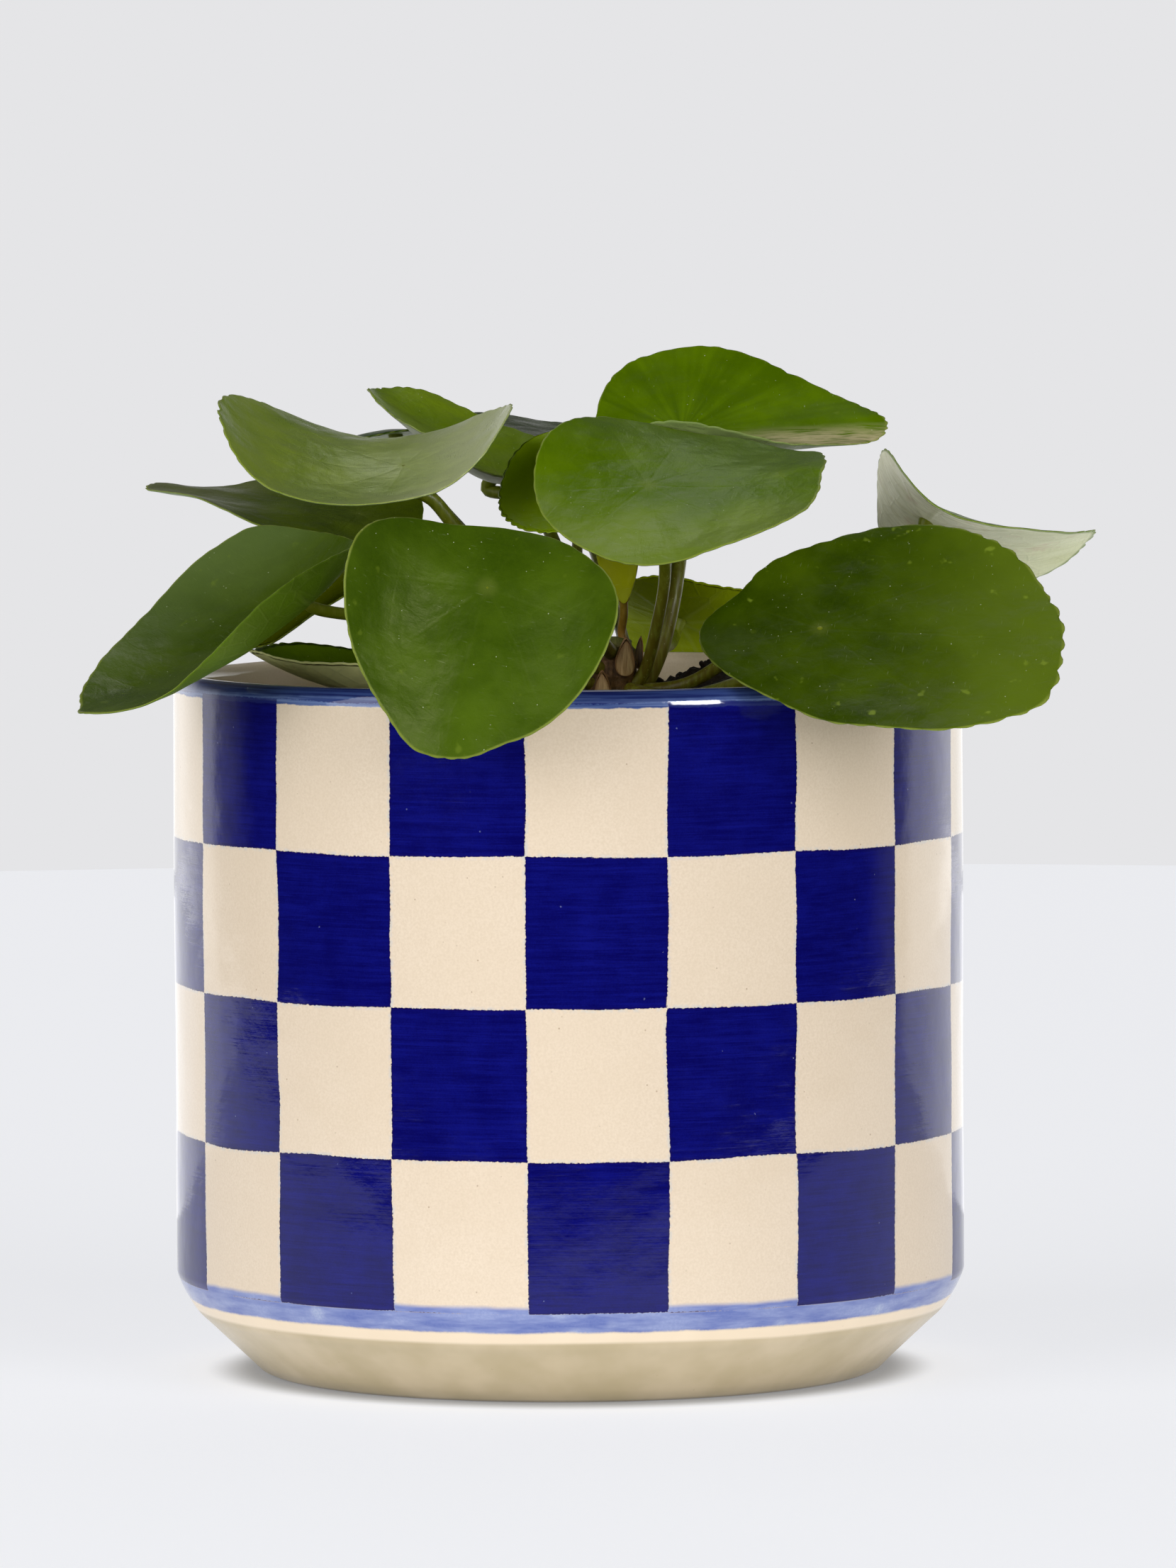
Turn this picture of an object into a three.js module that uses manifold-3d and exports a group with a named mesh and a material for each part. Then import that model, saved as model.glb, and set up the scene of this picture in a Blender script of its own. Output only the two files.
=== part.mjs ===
// Potted pilea plant: a glazed pot filled with soil, and one plant with a short trunk and round leaves.
// Millimetres, +Z up. The origin is on the pot's axis, in the plane of its flat base. -Y is the front.
import * as THREE from "three";
import { mergeVertices } from "three/addons/utils/BufferGeometryUtils.js";
import Module from "manifold-3d";

const wasm = await Module();
wasm.setup();

// ---------------------------------------------------------------- driving dimensions
const GAP = 0.3;

const POT = {
  radius: 70,
  height: 124,
  wall: 4,
  baseRadius: 54,
  baseChamfer: [1.4, 0.6], // outwards and upwards
  shoulder: [[66.2, 10.8], [68, 13.4], [69.3, 15.9]], // radius and height along the rounded lower shoulder
  shoulderTop: 18, // where the shoulder runs out into the straight wall
  lipRound: 2,
  well: [[0, 24], [3, 14], [10, 8]], // inside: how far in from the wall's inner face, and height
  segments: 56,
};

const SOIL = {
  radius: POT.radius - POT.wall - GAP,
  wallLevel: 114.4, // surface height at the pot's wall
  mound: { height: 4.2, width: 24 }, // soil drawn up round the trunk
  clump: 0.5, // height of the clumps
  heap: { at: [34, 18], height: 9.5, width: 17 }, // soil piled up on the right, behind the stalks
  rings: [58, 48, 38, 28, 18, 8], // radii of the surface's rings inside its edge
  segments: 40,
};

const TRUNK = {
  foot: [8, 2], // where the trunk's axis stands, X and Y
  lean: 4, // degrees towards +X
  bottom: 102,
  top: 129.5,
  radiusInSoil: 5.8,
  radiusAtSoil: 5.4,
  radiusAtTop: 2.8,
  taperStart: 119,
  footRound: 1.8, // how far the lower end is drawn in
  scar: { spacing: 2.5, step: 0.5, height: 0.15 }, // rings left by fallen leaves
  crown: 0.4, // rise of the rounded top
  segments: 20,
};

const BLADE = {
  thickness: 0.8,
  fine: { rings: 4, points: 32 }, // every second point of the edge is drawn in by the notch
  coarse: { rings: 2, points: 16 }, // for blades and scales narrower than smallWidth
  smallWidth: 15,
  notch: 0.35,
  waves: 5, // slow waves of the edge
  waveHeight: 0.5,
};

const STALK = {
  sides: 6,
  steps: 7,
  root: 1.5, // how deep in the trunk a stalk starts, before the gap is cut
  out: 1.4, // how far out from the trunk it has come when it has risen by rise
  seatRun: 2.7, // how far below the blade it turns square to it, in radii
};

// One line for each leaf. at: where the stalk meets the blade. azimuth: the way the tip points, 0 to the
// front and 90 to +X. droop: the tip's fall. roll: the rise of the side on the right hand when one looks
// towards the tip. lift: how far the right and left edges curl up. bend: the same for the tip and the base.
// offset: share of the length by which the stalk sits behind the middle. taper: narrowing towards the tip.
// swells: where the edge stands out or in: angle from the tip, share of the radius, half the spread.
// stalk: radius, then direction and height where it leaves the trunk, then the points it passes.
const LEAVES = [
  {
    name: "front",
    at: [-13.6, -73, 141.7], azimuth: -33, droop: 62.5, roll: 32, length: 42.5, width: 51.5,
    lift: [47, 49], bend: [-4, -24], offset: 0.23, taper: 0.29, twist: 0.06,
    swells: [
      [191, 0.16, 15], [234, -0.03, 14], [163, -0.03, 8], [16, 0.035, 14],
      [329, -0.03, 14],
    ],
    stalk: { radius: 1.2, azimuth: -15, height: 127, rise: 0.6, via: [[1, -30, 137]] },
  },
  {
    name: "center",
    at: [14.4, -20, 157.2], azimuth: 86, droop: 6, roll: -31, length: 52.5, width: 54,
    lift: [5, -18], bend: [23, 16], offset: 0.11, taper: -0.02, twist: 0.18,
    swells: [
      [145, 0.035, 16], [34, 0.035, 12], [2, -0.03, 10], [326, 0.06, 12], [274, -0.05, 12],
      [236, 0.065, 14],
    ],
    stalk: { radius: 1.1, azimuth: 62, height: 121, rise: 2.5, via: [[15.6, -4, 131], [17.3, -9, 143]] },
  },
  {
    name: "right_front",
    at: [43.5, -55, 133.5], azimuth: 80, droop: 4, roll: -38, length: 64, width: 54,
    lift: [5, 5], bend: [5, -5], offset: 0.17, taper: -0.2, twist: 0,
    swells: [
      [206, -0.13, 16], [262, 0.04, 14], [300, -0.03, 14], [330, -0.06, 20],
      [28, 0.075, 16], [82, -0.04, 16], [118, -0.08, 20],
    ],
    stalk: { radius: 1.4, azimuth: 40, height: 120.4, rise: 0, via: [[20, -13, 119.6], [28, -24, 122]] },
  },
  {
    name: "top_right",
    at: [20.8, 27, 165], azimuth: 88, droop: -2, roll: -35, length: 53, width: 45,
    lift: [75, 6], bend: [0, 10], offset: 0.2, taper: 0.6, twist: 0,
    swells: [[230, -0.03, 35]],
    stalk: { radius: 1.4, azimuth: 95, height: 120, rise: 2.5, via: [[17, 4, 128.5], [19.8, 8, 142]] },
  },
  {
    name: "upper_left",
    at: [-28.7, -6, 160.3], azimuth: -94, droop: 8, roll: 21, length: 59.5, width: 48,
    lift: [-17, 13], bend: [58, 45], offset: 0.11, taper: -0.28, twist: 0.02,
    stalk: {
      radius: 1.3, azimuth: -60, height: 126.8, rise: 0.6,
      via: [[-9, -1, 141], [-19, -2, 149], [-23.8, -3.5, 154.6]],
    },
  },
  {
    name: "lower_left",
    at: [-46.1, -40, 139.6], azimuth: -71.5, droop: 39, roll: 13, length: 59.6, width: 46.5,
    lift: [24, 61], bend: [28, 12], offset: 0.28, taper: 0.48, twist: 0.05,
    swells: [[138, 0.08, 12], [14, -0.025, 12]],
    stalk: { radius: 1.1, azimuth: -45, height: 124, rise: 0.6, via: [[-22, -20, 133]] },
  },
  {
    name: "far_left",
    at: [-37, 12, 151.2], azimuth: -90, droop: -7, roll: 13.5, length: 50, width: 42.5,
    lift: [6, 0], bend: [2, 15], offset: 0.27, taper: 0.33, twist: -0.15,
    stalk: { radius: 1.2, azimuth: -110, height: 127.2, rise: 0.6, via: [[-14, 8, 140]] },
  },
  {
    name: "back_upper_left",
    at: [-13, 30, 158], azimuth: -127, droop: -31, roll: 0, length: 43, width: 40,
    lift: [10, 35], bend: [0, 60], offset: 0.2, taper: 0.2, twist: 0,
    stalk: { radius: 1.2, azimuth: -165, height: 124, rise: 0.6, via: [[0, 18, 141], [-7, 27, 153.4]] },
  },
  {
    name: "back_top",
    at: [-1, 66, 163.5], azimuth: -95, droop: -8, roll: 5, length: 40, width: 32,
    lift: [5, 5], bend: [0, 0], offset: 0.2, taper: 0.35, twist: 0,
    stalk: { radius: 1.1, azimuth: 155, height: 124, rise: 0.6, via: [[6, 32, 141]] },
  },
  {
    name: "shaded_middle",
    at: [2.4, 1, 160.7], azimuth: -20, droop: 54, roll: 2, length: 29, width: 28.4,
    lift: [-3, 18], bend: [30, -28], offset: 0.15, taper: -0.03, twist: -0.1,
    stalk: { radius: 1, azimuth: -148, height: 128, rise: 0.8, via: [[2, 10, 142]] },
  },
  {
    name: "right_back",
    at: [64.2, 8, 149.9], azimuth: 79, droop: 27.5, roll: 26.5, length: 46.3, width: 40.6,
    lift: [-20, -24], bend: [51, 54], offset: 0.17, taper: 0.07, twist: -0.15,
    stalk: { radius: 1.2, azimuth: 70, height: 120.4, rise: 0.4, via: [[22, -3, 122], [49, 3, 141]] },
  },
  {
    name: "back_low",
    at: [20.4, 66, 129.9], azimuth: 151, droop: 32, roll: 0, length: 43.5, width: 34.5,
    lift: [52, 16], bend: [-39, 4], offset: 0.16, taper: -0.17, twist: -0.03,
    stalk: { radius: 1.3, azimuth: 135, height: 121, rise: 0.6, via: [[17, 32, 126]] },
  },
  {
    name: "rim_left",
    at: [-28.8, -25, 120.7], azimuth: -90, droop: -2.4, roll: 3, length: 41, width: 30.3,
    lift: [54, 48], bend: [31, 7], offset: 0.2, taper: 0.12, twist: 0,
    stalk: { radius: 1, azimuth: -60, height: 121, rise: 0.6, via: [[-12, -13, 122.5]] },
  },
  {
    name: "young",
    at: [10, -4, 137], azimuth: -90, droop: -82, roll: 90, length: 13, width: 7,
    lift: [25, 25], bend: [0, 0], offset: 0.42, taper: -0.5, twist: 0,
    stalk: { radius: 0.8, azimuth: 60, height: 127, rise: 4, out: -1.5, via: [[10, 0, 133.5]] },
  },
  {
    name: "shaded_left",
    at: [-40, 1, 141], azimuth: -80, droop: 35, roll: 10, length: 34, width: 32,
    lift: [10, 10], bend: [5, 5], offset: 0.2, taper: 0, twist: 0,
    stalk: { radius: 1.1, azimuth: -90, height: 124, rise: 0.6, via: [[-18, -3, 134]] },
  },
  {
    name: "back_left",
    at: [-31, 47, 165], azimuth: -165, droop: 8, roll: 0, length: 31, width: 30,
    lift: [-30, -30], bend: [-10, -10], offset: 0.2, taper: 0, twist: 0,
    stalk: { radius: 1.1, azimuth: -130, height: 124, rise: 0.6, via: [[-14, 22, 143]] },
  },
];

const STIPULE = { curl: 22, offset: 0.45, taper: 0.5, clear: 0.35 };

// The papery scales on the trunk: direction and height of the foot, length, width and outward lean.
const STIPULES = [
  { azimuth: 22, height: 123.5, length: 7, width: 3.6, lean: 2 },
  { azimuth: -15, height: 118.5, length: 6, width: 3, lean: 4 },
  { azimuth: 120, height: 124.5, length: 6, width: 3, lean: 4 },
];

// ---------------------------------------------------------------- materials
const finish = (color, roughness) => new THREE.MeshStandardMaterial({ color, roughness, metalness: 0 });
const GLAZE = "#dcd0bd";
const EARTH = "#2b1d15";
const BARK = "#7a5638";
const SCALE = "#b58a72";
const GREEN_STALK = "#77893a";
const RED_STALK = "#9a6a3f";
const LEAF = "#3f7a22";
const YOUNG_LEAF = "#9bac2e";

// ---------------------------------------------------------------- helpers
const rad = THREE.MathUtils.degToRad;

// A geometry with only shared positions left.
function welded(geometry) {
  const g = geometry.clone();
  g.deleteAttribute("normal");
  g.deleteAttribute("uv");
  return mergeVertices(g, 1e-4);
}

function toSolid(geometry) {
  const g = welded(geometry);
  return new wasm.Manifold(
    new wasm.Mesh({
      numProp: 3,
      vertProperties: new Float32Array(g.attributes.position.array),
      triVerts: new Uint32Array(g.index.array),
    }),
  );
}

function toGeometry(solid) {
  const mesh = solid.getMesh();
  const g = new THREE.BufferGeometry();
  g.setAttribute("position", new THREE.BufferAttribute(mesh.vertProperties, 3));
  g.setIndex(new THREE.BufferAttribute(mesh.triVerts, 1));
  g.computeVertexNormals();
  return g;
}

// A body of revolution about Z from [radius, height] points, counted from the lower end on the axis.
function turned(points, segments) {
  const profile = points.map(([r, z]) => new THREE.Vector2(r, z));
  return new THREE.LatheGeometry(profile, segments).rotateX(Math.PI / 2);
}

// A unit vector in plan: azimuth 0 is the front, 90 is +X.
function heading(azimuth) {
  return new THREE.Vector3(Math.sin(rad(azimuth)), -Math.cos(rad(azimuth)), 0);
}

// Points of a quarter round from one direction to another about a centre.
function arc([cr, cz], radius, from, to, steps) {
  return Array.from({ length: steps + 1 }, (_, i) => {
    const a = rad(from + ((to - from) * i) / steps);
    return [cr + radius * Math.cos(a), cz + radius * Math.sin(a)];
  });
}

// ---------------------------------------------------------------- pot and soil
function potGeometry() {
  const { radius, height, wall, baseRadius, baseChamfer, shoulder, shoulderTop, lipRound, well } = POT;
  const foot = [[0, 0], [baseRadius, 0], [baseRadius + baseChamfer[0], baseChamfer[1]]];
  const outside = [...foot, ...shoulder, [radius, shoulderTop]];
  const lip = arc([radius - lipRound, height - lipRound], lipRound, 0, 180, 6);
  const inside = well.map(([inwards, z]) => [radius - wall - inwards, z]);
  return turned([...outside, ...lip, ...inside, [0, inside.at(-1)[1]]], POT.segments);
}

// Height of the soil's surface at a place in plan.
function soilLevel(x, y) {
  const hill = ([cx, cy], height, width) => height * Math.exp(-((Math.hypot(x - cx, y - cy) / width) ** 2));
  const clumps = Math.sin(x * 0.9 + 1.3) * Math.sin(y * 0.8 - 0.4) + 0.6 * Math.sin(x * 0.37 - y * 0.53);
  const { wallLevel, mound, heap, clump } = SOIL;
  const hills = hill(TRUNK.foot, mound.height, mound.width) + hill(heap.at, heap.height, heap.width);
  return wallLevel + hills + clump * clumps;
}

// The filling follows the pot's inside; its top is a set of rings that are lifted to the soil's level.
function soilGeometry() {
  const { radius, rings, segments } = SOIL;
  const marker = 2 * POT.height; // rings of the surface are told from the sides by this height
  const under = POT.well.map(([inwards, z]) => [radius - inwards, z + GAP]).reverse();
  const surface = [radius, ...rings, 0].map((r) => [r, marker]);
  const g = welded(turned([[0, under[0][1]], ...under, ...surface], segments));
  const p = g.attributes.position;
  for (let i = 0; i < p.count; i++) {
    if (p.getZ(i) > marker - 1) p.setZ(i, soilLevel(p.getX(i), p.getY(i)));
  }
  return g;
}

// ---------------------------------------------------------------- trunk
function trunkRadius(z) {
  const { taperStart, top, radiusInSoil, radiusAtSoil, radiusAtTop } = TRUNK;
  if (z <= taperStart) return radiusInSoil;
  return radiusAtSoil + (radiusAtTop - radiusAtSoil) * ((z - taperStart) / (top - taperStart));
}

// The trunk's outline, made fatter all round by extra, with a ring-shaped leaf scar at each level.
function trunkGeometry(extra) {
  const { bottom, top, taperStart, radiusInSoil, radiusAtTop, footRound, scar, crown, segments } = TRUNK;
  const points = [[0, bottom - extra], [radiusInSoil - footRound + extra, bottom - extra]];
  points.push([radiusInSoil + extra, bottom + footRound], [radiusInSoil + extra, taperStart]);
  for (let z = taperStart + 1; z < top - scar.spacing; z += scar.spacing) {
    points.push([trunkRadius(z) + extra, z], [trunkRadius(z) + scar.height + extra, z + scar.step]);
  }
  points.push([0.6 * radiusAtTop + extra, top + extra], [0, top + crown + extra]);
  return placedOnTrunk(turned(points, segments));
}

// Moves what was made about the Z axis to the trunk's leaning axis.
function placedOnTrunk(geometry) {
  const [x, y] = TRUNK.foot;
  const pivot = TRUNK.taperStart;
  return geometry.translate(0, 0, -pivot).rotateY(rad(TRUNK.lean)).translate(x, y, pivot);
}

// A point on the trunk's surface (or in it, with a negative extra) at a direction and height.
function onTrunk(azimuth, z, extra) {
  const p = heading(azimuth).multiplyScalar(trunkRadius(z) + extra);
  const g = new THREE.BufferGeometry().setFromPoints([p.setZ(z)]);
  return new THREE.Vector3().fromBufferAttribute(placedOnTrunk(g).attributes.position, 0);
}

// ---------------------------------------------------------------- leaves
// A leaf's own frame: side (right hand), tip and up, as unit vectors.
function leafFrame({ azimuth, droop, roll }) {
  const tip = heading(azimuth).multiplyScalar(Math.cos(rad(droop))).setZ(-Math.sin(rad(droop)));
  const level = new THREE.Vector3(-Math.cos(rad(azimuth)), -Math.sin(rad(azimuth)), 0);
  const over = new THREE.Vector3().crossVectors(level, tip);
  const side = level.multiplyScalar(Math.cos(rad(roll))).addScaledVector(over, Math.sin(rad(roll)));
  const up = new THREE.Vector3().crossVectors(side, tip);
  return { side, tip, up };
}

// Length run along a curve that turns evenly by angle over reach: how far out and how far up it gets.
function curled(run, reach, angle) {
  const rate = rad(angle) / reach;
  if (Math.abs(rate) < 1e-9) return [run, 0];
  return [Math.sin(rate * run) / rate, (1 - Math.cos(rate * run)) / rate];
}

// The radius of a blade's edge at an angle from its tip, as a share of that of the plain shape.
function edgeShare({ swells = [] }, angle) {
  const degrees = THREE.MathUtils.radToDeg(angle);
  return swells.reduce((sum, [centre, amount, spread]) => {
    const away = THREE.MathUtils.euclideanModulo(degrees - centre + 180, 360) - 180;
    return sum + amount * Math.exp(-((away / spread) ** 2));
  }, 1);
}

// The middle surface of a blade in its own frame, from the share of the radius and the angle round it.
function bladePoint(leaf, share, angle) {
  const { length, width, lift, bend, offset, taper, twist } = leaf;
  const edge = width / 2;
  const reached = share * edgeShare(leaf, angle);
  const sideways = edge * reached * Math.sin(angle) * (1 - taper * Math.cos(angle));
  const along = length * reached * (0.5 * Math.cos(angle) + offset);
  const reach = along > 0 ? length * (0.5 + offset) : length * (0.5 - offset);
  const [x, rise] = curled(Math.abs(sideways), edge, sideways > 0 ? lift[0] : lift[1]);
  const [y, climb] = curled(Math.abs(along), reach, along > 0 ? bend[0] : bend[1]);
  const size = Math.min(1, width / 40);
  const wave = BLADE.waveHeight * size * share ** 3 * Math.sin(BLADE.waves * angle + length);
  const turn = (twist * sideways * along * 2) / length;
  return new THREE.Vector3(x * Math.sign(sideways), y * Math.sign(along), rise + climb + turn + wave);
}

// The upward direction of the blade's surface at a place on it.
function bladeNormal(leaf, share, angle) {
  const step = 0.01;
  const here = Math.max(share, step);
  const out = bladePoint(leaf, here + step, angle).sub(bladePoint(leaf, here - step, angle));
  const round = bladePoint(leaf, here, angle + step).sub(bladePoint(leaf, here, angle - step));
  return out.cross(round).normalize().multiplyScalar(-1);
}

// A closed blade: the same triangles on its upper and lower faces, and a band round the edge.
function bladeGeometry(leaf) {
  const { thickness, notch, smallWidth } = BLADE;
  const { rings, points } = leaf.width < smallWidth ? BLADE.coarse : BLADE.fine;
  const { side, tip, up } = leafFrame(leaf);
  const place = new THREE.Matrix4().makeBasis(side, tip, up).setPosition(...leaf.at);
  const upper = [];
  const lower = [];
  const add = (middle, normal) => {
    upper.push(middle.clone().addScaledVector(normal, thickness / 2));
    lower.push(middle.clone().addScaledVector(normal, -thickness / 2));
  };
  add(new THREE.Vector3(), new THREE.Vector3(0, 0, 1));
  for (let ring = 1; ring <= rings; ring++) {
    for (let i = 0; i < points; i++) {
      const angle = (2 * Math.PI * i) / points;
      const drawnIn = ring === rings && i % 2 ? notch / (leaf.width / 2) : 0;
      const share = ring / rings - drawnIn;
      add(bladePoint(leaf, share, angle), bladeNormal(leaf, share, angle));
    }
  }
  const at = (ring, i) => 1 + (ring - 1) * points + (i % points);
  const under = upper.length;
  const faces = [];
  const both = (a, b, c) => faces.push(a, c, b, under + a, under + b, under + c);
  for (let i = 0; i < points; i++) {
    both(0, at(1, i), at(1, i + 1));
    for (let ring = 1; ring < rings; ring++) {
      both(at(ring, i), at(ring + 1, i), at(ring + 1, i + 1));
      both(at(ring, i), at(ring + 1, i + 1), at(ring, i + 1));
    }
    const a = at(rings, i);
    const b = at(rings, i + 1);
    faces.push(a, b, under + b, a, under + b, under + a);
  }
  const g = new THREE.BufferGeometry().setFromPoints([...upper, ...lower]);
  g.setIndex(faces);
  g.applyMatrix4(place);
  g.computeVertexNormals();
  return g;
}

// A round stalk from inside the trunk to just under the blade, which it meets square on.
function stalkSolid(leaf, trunkCutter) {
  const { radius, azimuth, height, rise, via, out = STALK.out } = leaf.stalk;
  const { up } = leafFrame(leaf);
  const blade = new THREE.Vector3(...leaf.at);
  const seat = blade.clone().addScaledVector(up, -(BLADE.thickness / 2 + GAP));
  const below = blade.clone().addScaledVector(up, -STALK.seatRun * radius);
  const route = [
    onTrunk(azimuth, height, -STALK.root),
    onTrunk(azimuth, height + rise, out),
    ...via.map((p) => new THREE.Vector3(...p)),
    below,
    seat,
  ];
  const path = new THREE.CatmullRomCurve3(route, false, "centripetal");
  const section = new THREE.Shape();
  for (let i = 0; i < STALK.sides; i++) {
    const a = (2 * Math.PI * i) / STALK.sides;
    const point = [radius * Math.cos(a), radius * Math.sin(a)];
    if (i) section.lineTo(...point);
    else section.moveTo(...point);
  }
  const steps = STALK.steps + 2 * via.length;
  const tube = new THREE.ExtrudeGeometry(section, { steps, extrudePath: path, bevelEnabled: false });
  return toSolid(tube).subtract(trunkCutter);
}

// A thin pointed scale that lies against the trunk.
function stipuleGeometry({ azimuth, height, length, width, lean }) {
  const { curl, offset, taper } = STIPULE;
  const turnedUp = { azimuth, droop: lean - 90, roll: 0 };
  const scale = { ...turnedUp, length, width, lift: [curl, curl], bend: [0, 0], offset, taper, twist: 0 };
  scale.at = onTrunk(azimuth, height, BLADE.thickness / 2 + GAP + STIPULE.clear).toArray();
  return bladeGeometry(scale);
}

// ---------------------------------------------------------------- assembly
const plant = new THREE.Group();

function addMesh(parent, name, geometry, color, roughness) {
  const mesh = new THREE.Mesh(geometry, finish(color, roughness));
  mesh.name = name;
  parent.add(mesh);
}

const trunkHole = toSolid(trunkGeometry(GAP));
for (const leaf of LEAVES) {
  const [bladeColor, stalkColor] = leaf.name === "young" ? [YOUNG_LEAF, RED_STALK] : [LEAF, GREEN_STALK];
  addMesh(plant, "blade_" + leaf.name, bladeGeometry(leaf), bladeColor, 0.4);
  addMesh(plant, "stalk_" + leaf.name, toGeometry(stalkSolid(leaf, trunkHole)), stalkColor, 0.5);
}
addMesh(plant, "trunk", trunkGeometry(0), BARK, 0.9);
STIPULES.forEach((stipule, i) => addMesh(plant, "stipule_" + (i + 1), stipuleGeometry(stipule), SCALE, 0.8));

const part = new THREE.Group();
addMesh(part, "pot", potGeometry(), GLAZE, 0.15);
addMesh(part, "soil", toGeometry(toSolid(soilGeometry()).subtract(trunkHole)), EARTH, 1);
part.add(plant);

export default part;
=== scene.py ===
"""Looks for the potted pilea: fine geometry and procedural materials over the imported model.

Metres, in the CAD's frame: +Z up along the pot's axis, -Y to the front. The tables below are in millimetres
and degrees, and repeat the dimensions of the CAD source, so that each fine piece lies where its node is.
"""
import math
import random

import bmesh
import bpy
import numpy as np
from mathutils import Matrix, Vector, noise


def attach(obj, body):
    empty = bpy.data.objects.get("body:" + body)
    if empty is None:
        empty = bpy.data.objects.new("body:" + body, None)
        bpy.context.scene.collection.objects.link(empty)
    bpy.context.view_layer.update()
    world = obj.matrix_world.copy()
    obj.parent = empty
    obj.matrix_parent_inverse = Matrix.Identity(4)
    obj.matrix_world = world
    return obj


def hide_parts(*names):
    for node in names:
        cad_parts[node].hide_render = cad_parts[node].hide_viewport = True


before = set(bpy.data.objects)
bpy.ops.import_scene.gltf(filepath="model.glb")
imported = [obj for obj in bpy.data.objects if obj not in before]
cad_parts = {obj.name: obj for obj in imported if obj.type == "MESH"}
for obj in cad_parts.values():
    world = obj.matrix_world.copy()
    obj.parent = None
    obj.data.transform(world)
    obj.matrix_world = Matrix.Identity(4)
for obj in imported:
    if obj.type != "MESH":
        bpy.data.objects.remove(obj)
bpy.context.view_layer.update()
scene = bpy.context.scene

MM = 0.001
SEED = 11
LAY = "lay"  # attribute: where a vertex lies on its flat blade in millimetres, and its share of the radius

# ------------ dimensions, as in the CAD source
GAP = 0.3
POT = {
    "radius": 70, "height": 124, "wall": 4,
    "foot": (54.0, 0.0), "foot_edge": (55.4, 0.6),
    "before_shoulder": (64.5, 9.2), "after_shoulder": (70.0, 20.5),
    "shoulder": [(66.2, 10.8), (68.0, 13.4), (69.3, 15.9), (70.0, 18.0)],
    "lip": 2.0, "outer_bend": 3.3,
    "well": [(0, 24), (3, 14), (10, 8)],
    "out_of_round": 0.16, "uneven_height": 0.22,
    "segments": 288, "pitch": 2.6,
}
SOIL = {
    "radius": 65.9, "wall_level": 114.4, "mound": (4.2, 24), "clump": 0.5,
    "heap": ((34, 18), 9.5, 17), "bottom": 104.0, "step": 0.8, "segments": 280,
    "lump": 2.2, "small_lump": 1.3, "grit": 0.35, "sunk": 0.3,
}
CRUMBS = {
    "count": 900, "reach": 64, "small": (0.4, 0.9), "large": (0.9, 1.7), "small_share": 0.8,
    "raised": 0.55, "dark_tones": (0.3, 0.75), "dark_share": 0.93,
}
TRUNK = {
    "foot": (8, 2), "lean": 4, "bottom": 102, "top": 129.5, "in_soil": 5.8, "at_soil": 5.4, "at_top": 2.8,
    "taper_start": 119, "foot_round": 1.8, "crown": 0.4, "segments": 72, "step": 0.3,
    "scar_spacing": 2.5, "scar": 0.28, "rough": 0.3, "fine_rough": 0.14,
}
BLADE = {
    "thickness": 0.8, "edge": 0.36, "waves": 5, "wave_height": 0.5, "teeth": 42, "tooth": 0.42,
    "rings": 22, "points": 210, "ripple": 0.42, "fine_ripple": 0.16, "vein": 0.02, "veins": 4.5,
    "vein_bend": 0.012,
}
YOUNG_BLADE = {"thickness": 0.7, "edge": 0.3, "rings": 12, "points": 96}
# share of the usual tooth
SMOOTHER_EDGES = {
    "front": 0.4, "lower_left": 0.3, "center": 0.6, "rim_left": 0.5, "top_right": 0.8, "far_left": 0.5,
}
STALK = {
    "root": 1.5, "out": 1.4, "seat_run": 2.7, "sides": 18, "pitch": 0.9,
    "flare": 0.35, "flare_run": 1.6, "root_flare": 0.22, "into_blade": 0.15,
}
END_DOME = 0.4  # rise of a stalk's ends, as a share of its radius
STIPULE = {
    "curl": 22, "offset": 0.45, "taper": 0.5, "clear": 0.35, "thickness": 0.5, "edge": 0.2,
    "rings": 8, "points": 40,
}

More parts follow.
